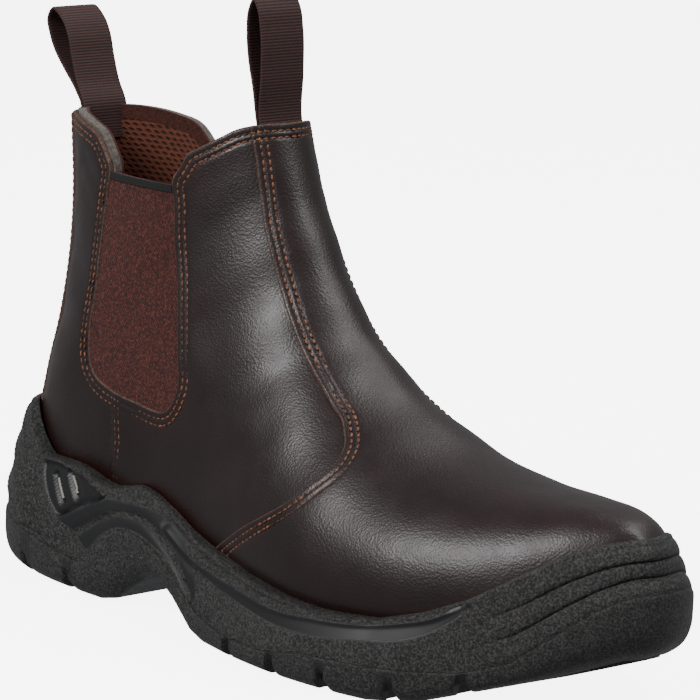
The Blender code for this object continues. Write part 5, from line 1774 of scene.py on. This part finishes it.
def outward_normal(point):
    hit = LAST_TREE.find_nearest(Vector(point))
    normal = np.array(hit[1])
    middle = np.array((point[0], 0.0, point[2]))
    if np.dot(normal, np.asarray(point) - middle) < 0 and abs(point[1]) > 2 * MM:
        normal = -normal
    return np.array(hit[0]), normal


# Rings of one stitch
STITCH_RINGS = (
    # share of the half length, share of the radius, lift in radii
    (-1.00, 0.25, -0.30),
    (-0.80, 0.75, -0.05),
    (-0.35, 1.00, 0.10),
    (0.35, 1.00, 0.10),
    (0.80, 0.75, -0.05),
    (1.00, 0.25, -0.30),
)
THREAD_RING = 6
THREAD_FLAT = 0.7


def stitches_along(line, depth, keep=None):
    """Capsules that lie along a line on the leather, each one stitch."""
    total = chord_lengths(line)
    pitch, reach, radius = sizes().stitch_pitch, sizes().stitch_length, sizes().thread_radius
    count = int(total[-1] / pitch)
    vertices = []
    faces = []
    for k in range(count):
        middle = (k + 0.5) * pitch
        ends = [np.array([np.interp(middle + s * 0.5 * reach, total, line[:, c]) for c in range(3)])
                for s in (-1, 1)]
        centre = 0.5 * (ends[0] + ends[1])
        if keep is not None and not keep(centre):
            continue
        surface, normal = outward_normal(centre)
        way = ends[1] - ends[0]
        way = way - normal * np.dot(way, normal)
        way = way / np.linalg.norm(way)
        side = np.cross(normal, way)
        centre = surface - normal * depth
        start = len(vertices)
        for share, wide, lift in STITCH_RINGS:
            for turn in range(THREAD_RING):
                angle = 2 * math.pi * turn / THREAD_RING
                up = math.sin(angle) * THREAD_FLAT * wide + lift
                vertices.append(centre + way * share * 0.5 * reach + side * math.cos(angle) * radius * wide
                                + normal * up * radius)
        rows = len(STITCH_RINGS)
        faces += ring_faces(rows, THREAD_RING, start) + end_faces(rows, THREAD_RING, start)
    return vertices, faces


# How deep each row's stitches lie below the last's surface
VAMP_ROW_DEPTH = 0.26 * MM
COLLAR_ROW_DEPTHS = (OVERLAY_STEP + 0.22 * MM, 0.24 * MM)
STAY_ROW_DEPTH = 0.45 * MM
STAY_ROW_IN = 2.0 * MM
SEAM_ROW_DEPTH = OVERLAY_STEP - 0.35 * MM
SEAM_ROWS_AHEAD = (1.4 * MM, 3.4 * MM)


def build_stitches():
    """Two rows beside every edge of the vamp, one round the collar and gores, and the seams' rows."""
    rows = []
    inside = LAST.at(np.array(PATTERN.sheet.places)[[face[0] for face in PATTERN.vamp]]).mean(axis=0)
    for line in PATTERN.vamp_lines:
        for shift in ROWS_IN:
            moved = min((line_at(line, shift, way) for way in (-1, 1)),
                        key=lambda points: np.linalg.norm(points[:, 1:2] - inside[1], axis=1).mean())
            rows.append((soften(moved, 4), VAMP_ROW_DEPTH, None))
    loop = PATTERN.collar[:-1]
    for shift in ROWS_IN:
        moved = max((line_at(np.vstack([loop, loop[:2]]), shift, way) for way in (-1, 1)),
                    key=lambda points: -points[:, 2].mean())
        for depth, where in zip(COLLAR_ROW_DEPTHS, (on_quarters, on_vamp)):
            rows.append((moved, depth, where))
    for line in PATTERN.stay_lines:
        moved = min((line_at(line, STAY_ROW_IN, way) for way in (-1, 1)),
                    key=lambda points: np.abs(points[:, 1]).mean())
        rows.append((soften(moved, 4), STAY_ROW_DEPTH, None))
    for side in (-1, 1):
        for shift in SEAM_ROWS_AHEAD:
            z = np.linspace(SIDE_SEAM[-1, 1] + 4 * MM, SIDE_SEAM[0, 1] - 1 * MM, 30)
            x = np.interp(z, SIDE_SEAM[::-1, 1], SIDE_SEAM[::-1, 0]) + shift
            points = []
            for px, pz in zip(x, z):
                hit = LAST_TREE.ray_cast(Vector((px, side * 0.1, pz)), Vector((0, -side, 0)))
                points.append(np.array(hit[0]))
            rows.append((np.array(points), SEAM_ROW_DEPTH, None))
    vertices = []
    faces = []
    for line, depth, keep in rows:
        more, polygons = stitches_along(line, depth, keep)
        faces += [tuple(i + len(vertices) for i in face) for face in polygons]
        vertices += more
    add_piece("stitches", vertices, faces, [waxed_thread()])


def surface_groups():
    """Search tree of the vamp's faces, to tell the vamp from the quarters at a point."""
    places = np.array(PATTERN.sheet.places)
    trees = []
    for faces in (PATTERN.vamp, PATTERN.quarters + PATTERN.stay):
        used = sorted({index for face in faces for index in face})
        new = {index: k for k, index in enumerate(used)}
        points = LAST.at(places[used])
        trees.append(BVHTree.FromPolygons([Vector(p) for p in points], [[new[i] for i in f] for f in faces]))
    return trees


def on_vamp(point):
    near = [tree.find_nearest(Vector(point))[3] for tree in GROUPS]
    return near[0] < near[1]


def on_quarters(point):
    return not on_vamp(point)


# Webbing loops

FRONT_LOOP_RISE = 42.0 * MM
BACK_LOOP_RISE = 33.5 * MM
# How far the legs go down inside, and how far the front loop's foot stands above the shaft
LOOP_TAIL = 12 * MM
FRONT_LOOP_FOOT = 2 * MM
# Height of the rim at the back, as a share of the shaft
BACK_RIM = 0.9662


# Section of the strap: places across it as shares of its half width, and its thickness there
STRAP_ACROSS = (-1.0, -0.97, -0.88, -0.5, 0.0, 0.5, 0.88, 0.97, 1.0)
STRAP_THICK = (0.35, 0.85, 1.0, 1.0, 1.0, 1.0, 1.0, 0.85, 0.35)
# Share of the thickness that the ribs stand up, and the points along one rib
RIB_SHARE = 0.16
POINTS_PER_RIB = 6


def wall_inside(direction, edge, height):
    """How far along x the leather's inner side lies at a height, at both edges of a strap."""
    places = []
    for y in (-edge, edge):
        start = Vector((0.2 * LAST_LENGTH, y, height))
        hit = LAST_TREE.ray_cast(start, Vector((direction, 0, 0)))
        places.append(hit[0][0] - direction * (UPPER_WALL + OVERLAY_STEP))
    return min(places) if direction > 0 else max(places)


def woven_webbing():
    """Polyester pull-loop webbing with raised crosswise ribs, dark brown with a faint red, painted near
    black between the ribs as painted shade.
    """
    material = new_material("Ribbed brown webbing", 0.75, sheen=0.04)
    rib = add_node(material, STORED, "Fac", {"attribute_name": "rib"})
    # Painted shade: the webbing is painted near black in the hollows between its ribs.
    tone = add_node(material, RAMP, "Color", stops=((0.1, "#0e0807"), (0.8, colours().webbing)), Fac=rib)
    fleck = add_node(material, NOISE, "Fac", Vector=millimetres(material), Scale=1.0 / 0.8, Detail=3.0,
                     Roughness=0.7)
    share = add_node(material, RAMP, "Color", stops=((0.5, 0.0), (0.72, 0.6)), Fac=fleck)
    tone = add_node(material, MIX, 2, OF_COLOURS, n0=share, n6=tone, n7="#3a1e1a")
    finish(material, tone, add_node(material, BUMP, "Normal", Height=fleck, Distance=0.15 * MM))
    return material


def build_loop(name, node, route, direction, top, rise, webbing):
    """A folded strap whose two legs go down behind the leather."""
    edge = 0.5 * sizes().webbing_width
    half = 0.5 * sizes().webbing_thickness
    step_in = direction * (CLEARANCE + half)
    upper_end = wall_inside(direction, edge, top - 1.0 * MM) - step_in
    lower_end = wall_inside(direction, edge, top - LOOP_TAIL) - step_in
    gap = direction * (sizes().webbing_thickness + CLEARANCE)
    tail = [(lower_end, top - LOOP_TAIL), (0.5 * (lower_end + upper_end), top - 0.5 * LOOP_TAIL),
            (upper_end, top)]
    feet = list(tail)
    others = [(x - gap, z) for x, z in tail]
    if direction < 0:
        feet, others = others, feet
    body = [(feet[-1][0] + ahead * rise, top + up * rise) for ahead, up in route[1:]]
    points = np.array(feet + body + others[::-1])
    lengths = chord_lengths(points)
    steps = int(lengths[-1] / (sizes().rib_pitch / POINTS_PER_RIB))
    centre = spline(lengths, points, np.linspace(0.0, lengths[-1], steps))
    ahead = np.gradient(centre, axis=0)
    normals = np.stack([ahead[:, 1], -ahead[:, 0]], axis=1)
    normals = normals / np.linalg.norm(normals, axis=1)[:, None]
    place = np.linspace(0.0, lengths[-1], steps)
    rib = 0.5 + 0.5 * np.cos(2 * math.pi * place / sizes().rib_pitch)
    across = np.array(STRAP_ACROSS)
    thin = np.array(STRAP_THICK)
    vertices = []
    ribs = []
    for (x, z), (nx, nz), high in zip(centre, normals, rib):
        deep = half * (1.0 - RIB_SHARE + RIB_SHARE * high)
        ring = [(x + nx * deep * t, s * edge, z + nz * deep * t) for s, t in zip(across, thin)]
        ring += [(x - nx * deep * t, s * edge, z - nz * deep * t) for s, t in zip(across[::-1], thin[::-1])]
        vertices += ring
        ribs += [high] * len(ring)
    count = 2 * len(across)
    faces = ring_faces(steps, count) + end_faces(steps, count)
    loop = add_piece(name, vertices, faces, [webbing], {"rib": ribs})
    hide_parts(node)


def build_loops():
    """The loop at the front and the loop at the back."""
    webbing = woven_webbing()
    build_loop("webbing_loop_front", "pull_loop_front", FRONT_LOOP, 1, SHAFT_HEIGHT + FRONT_LOOP_FOOT,
               FRONT_LOOP_RISE, webbing)
    build_loop("webbing_loop_back", "pull_loop_back", BACK_LOOP, -1, BACK_RIM * SHAFT_HEIGHT,
               BACK_LOOP_RISE, webbing)


# Stage: a white floor, soft light and the camera

# The camera was fitted to the photograph's angle: degrees of azimuth, elevation and roll, and metres
CAMERA_TARGET = np.array((2.91, 1.30, 80.0)) * MM
CAMERA_TURN = (47.23, 11.57, 2.51)
CAMERA_OFFSET = np.array((-3.0, -18.7, -1541.8)) * MM
LENS = 231.43
# Softboxes round the boot
LIGHTS = (
    # right, up, towards the camera, (width, height), watts
    (-1.00, 0.88, 0.75, (0.8, 0.6), 21.0),
    (0.85, 1.15, 0.30, (0.4, 1.2), 11.0),
    (0.75, 1.50, -0.55, (1.2, 0.8), 6.5),
)
LIT_PLACE = (0.0, 0.0, 0.08)
FLOOR_HALF = 20.0
FLOOR_DROP = 0.5 * MM
PAPER_GLOW = 6.0
SKY_STRENGTH = 0.30


def camera_frame():
    """Right, up and back directions of the camera, as rows."""
    azimuth, elevation, roll = (math.radians(angle) for angle in CAMERA_TURN)
    back = np.array((math.sin(azimuth) * math.cos(elevation), -math.cos(azimuth) * math.cos(elevation),
                     math.sin(elevation)))
    right = np.array((math.cos(azimuth), math.sin(azimuth), 0.0))
    up = np.cross(back, right)
    turn = np.array(((math.cos(roll), math.sin(roll)), (-math.sin(roll), math.cos(roll))))
    return np.vstack([turn @ np.array((right, up)), back])


def area_light(name, size, power, place, aim):
    light = bpy.data.lights.new(name, "AREA")
    light.shape = "RECTANGLE"
    light.size, light.size_y = size
    light.energy = power
    item = bpy.data.objects.new(name, light)
    item.location = place
    item.rotation_euler = (Vector(aim) - Vector(place)).to_track_quat("-Z", "Y").to_euler()
    bpy.context.scene.collection.objects.link(item)


def white_paper():
    """Matt white backdrop paper, lit until it is white all over."""
    material = new_material("White paper", 0.9)
    shader = material.node_tree.nodes["Principled BSDF"]
    join(material, 0.9, shader.inputs["Base Color"])
    join(material, 1.0, shader.inputs["Emission Color"])
    join(material, PAPER_GLOW, shader.inputs["Emission Strength"])
    return material


def build_stage():
    """White floor and backdrop, a wide soft light from above and two from the sides, and the camera."""
    floor = bpy.data.meshes.new("floor")
    square = ((-1, -1), (1, -1), (1, 1), (-1, 1))
    corners = [(x * FLOOR_HALF, y * FLOOR_HALF, -FLOOR_DROP) for x, y in square]
    floor.from_pydata(corners, [], [(0, 1, 2, 3)])
    floor.materials.append(white_paper())
    item = bpy.data.objects.new("floor", floor)
    bpy.context.scene.collection.objects.link(item)
    item.visible_glossy = False
    item.visible_diffuse = False
    world = bpy.data.worlds.new("studio")
    world.use_nodes = True
    sky = world.node_tree.nodes["Background"]
    sky.inputs["Color"].default_value = (0.94, 0.96, 1.0, 1.0)
    sky.inputs["Strength"].default_value = SKY_STRENGTH
    bpy.context.scene.world = world
    rows = camera_frame()
    for k, (right, up, back, size, power) in enumerate(LIGHTS):
        place = np.array(LIT_PLACE) + rows[0] * right + np.array((0, 0, up)) + rows[2] * back
        area_light("softbox_%d" % k, size, power, place, LIT_PLACE)
    camera = bpy.data.cameras.new("camera")
    camera.lens = LENS
    camera.clip_end = 50.0
    view = bpy.data.objects.new("camera", camera)
    place = CAMERA_TARGET - rows.T @ CAMERA_OFFSET
    view.matrix_world = Matrix.Translation(place) @ Matrix(rows.T.tolist()).to_4x4()
    bpy.context.scene.collection.objects.link(view)
    bpy.context.scene.camera = view


PATTERN = UpperPattern()
GROUPS = surface_groups()


# Operators, one for each piece or group, and the panel that lists them

class BOOT_OT_upper(bpy.types.Operator):
    """Build the vamp, the quarters and the back stay"""

    bl_idname = "boot.upper"
    bl_label = "Leather Upper"

    def execute(self, context):
        build_upper_panels()
        return {"FINISHED"}


class BOOT_OT_gores(bpy.types.Operator):
    """Build both gores with the tape on their tops"""

    bl_idname = "boot.gores"
    bl_label = "Elastic Gores"

    def execute(self, context):
        build_gores()
        return {"FINISHED"}


class BOOT_OT_lining(bpy.types.Operator):
    """Build the mesh lining, the felt and the lining's cut edge"""

    bl_idname = "boot.lining"
    bl_label = "Lining and Felt"

    def execute(self, context):
        build_lining()
        return {"FINISHED"}


class BOOT_OT_midsole(bpy.types.Operator):
    """Build the rubber cup with its ribs, panel and bands"""

    bl_idname = "boot.midsole"
    bl_label = "Rubber Midsole"

    def execute(self, context):
        build_midsole()
        return {"FINISHED"}


class BOOT_OT_outsole(bpy.types.Operator):
    """Build the tread with its lugs"""

    bl_idname = "boot.outsole"
    bl_label = "Rubber Outsole"

    def execute(self, context):
        build_outsole()
        return {"FINISHED"}


class BOOT_OT_insole(bpy.types.Operator):
    """Give the footbed its cloth"""

    bl_idname = "boot.insole"
    bl_label = "Insole"

    def execute(self, context):
        build_insole()
        return {"FINISHED"}


class BOOT_OT_inserts(bpy.types.Operator):
    """Build the pale pads in the slots of the heel"""

    bl_idname = "boot.inserts"
    bl_label = "Slot Inserts"

    def execute(self, context):
        build_inserts()
        return {"FINISHED"}


class BOOT_OT_stitches(bpy.types.Operator):
    """Build every visible stitch as one mesh"""

    bl_idname = "boot.stitches"
    bl_label = "Stitches"

    def execute(self, context):
        build_stitches()
        return {"FINISHED"}


class BOOT_OT_loops(bpy.types.Operator):
    """Build the webbing loops"""

    bl_idname = "boot.loops"
    bl_label = "Pull Loops"

    def execute(self, context):
        build_loops()
        return {"FINISHED"}


class BOOT_OT_stage(bpy.types.Operator):
    """Build the floor, the lights, the world and the camera"""

    bl_idname = "boot.stage"
    bl_label = "Stage"

    def execute(self, context):
        build_stage()
        return {"FINISHED"}


OPERATORS = (BOOT_OT_upper, BOOT_OT_gores, BOOT_OT_lining, BOOT_OT_midsole, BOOT_OT_outsole,
             BOOT_OT_insole, BOOT_OT_inserts, BOOT_OT_stitches, BOOT_OT_loops, BOOT_OT_stage)


class BOOT_PT_panel(bpy.types.Panel):
    """The boot's build steps, sizes and colours"""

    bl_idname = "BOOT_PT_panel"
    bl_label = "Side Gore Work Boot"
    bl_space_type = "VIEW_3D"
    bl_region_type = "UI"
    bl_category = "Boot"

    def draw(self, context):
        layout = self.layout.column()
        for operator in OPERATORS:
            layout.operator(operator.bl_idname)
        for kind, group in ((BootSizes, sizes()), (BootColours, colours())):
            for name in kind.__annotations__:
                layout.prop(group, name)


CLASSES = (BootSizes, BootColours, *OPERATORS, BOOT_PT_panel)


def register():
    for kind in CLASSES:
        bpy.utils.register_class(kind)
    bpy.types.Scene.boot_sizes = bpy.props.PointerProperty(type=BootSizes)
    bpy.types.Scene.boot_colours = bpy.props.PointerProperty(type=BootColours)


def unregister():
    del bpy.types.Scene.boot_colours
    del bpy.types.Scene.boot_sizes
    for kind in reversed(CLASSES):
        bpy.utils.unregister_class(kind)


def main():
    register()
    bpy.ops.boot.upper()
    bpy.ops.boot.gores()
    bpy.ops.boot.lining()
    bpy.ops.boot.midsole()
    bpy.ops.boot.outsole()
    bpy.ops.boot.insole()
    bpy.ops.boot.inserts()
    bpy.ops.boot.stitches()
    bpy.ops.boot.loops()
    bpy.ops.boot.stage()


if __name__ == "__main__":
    main()
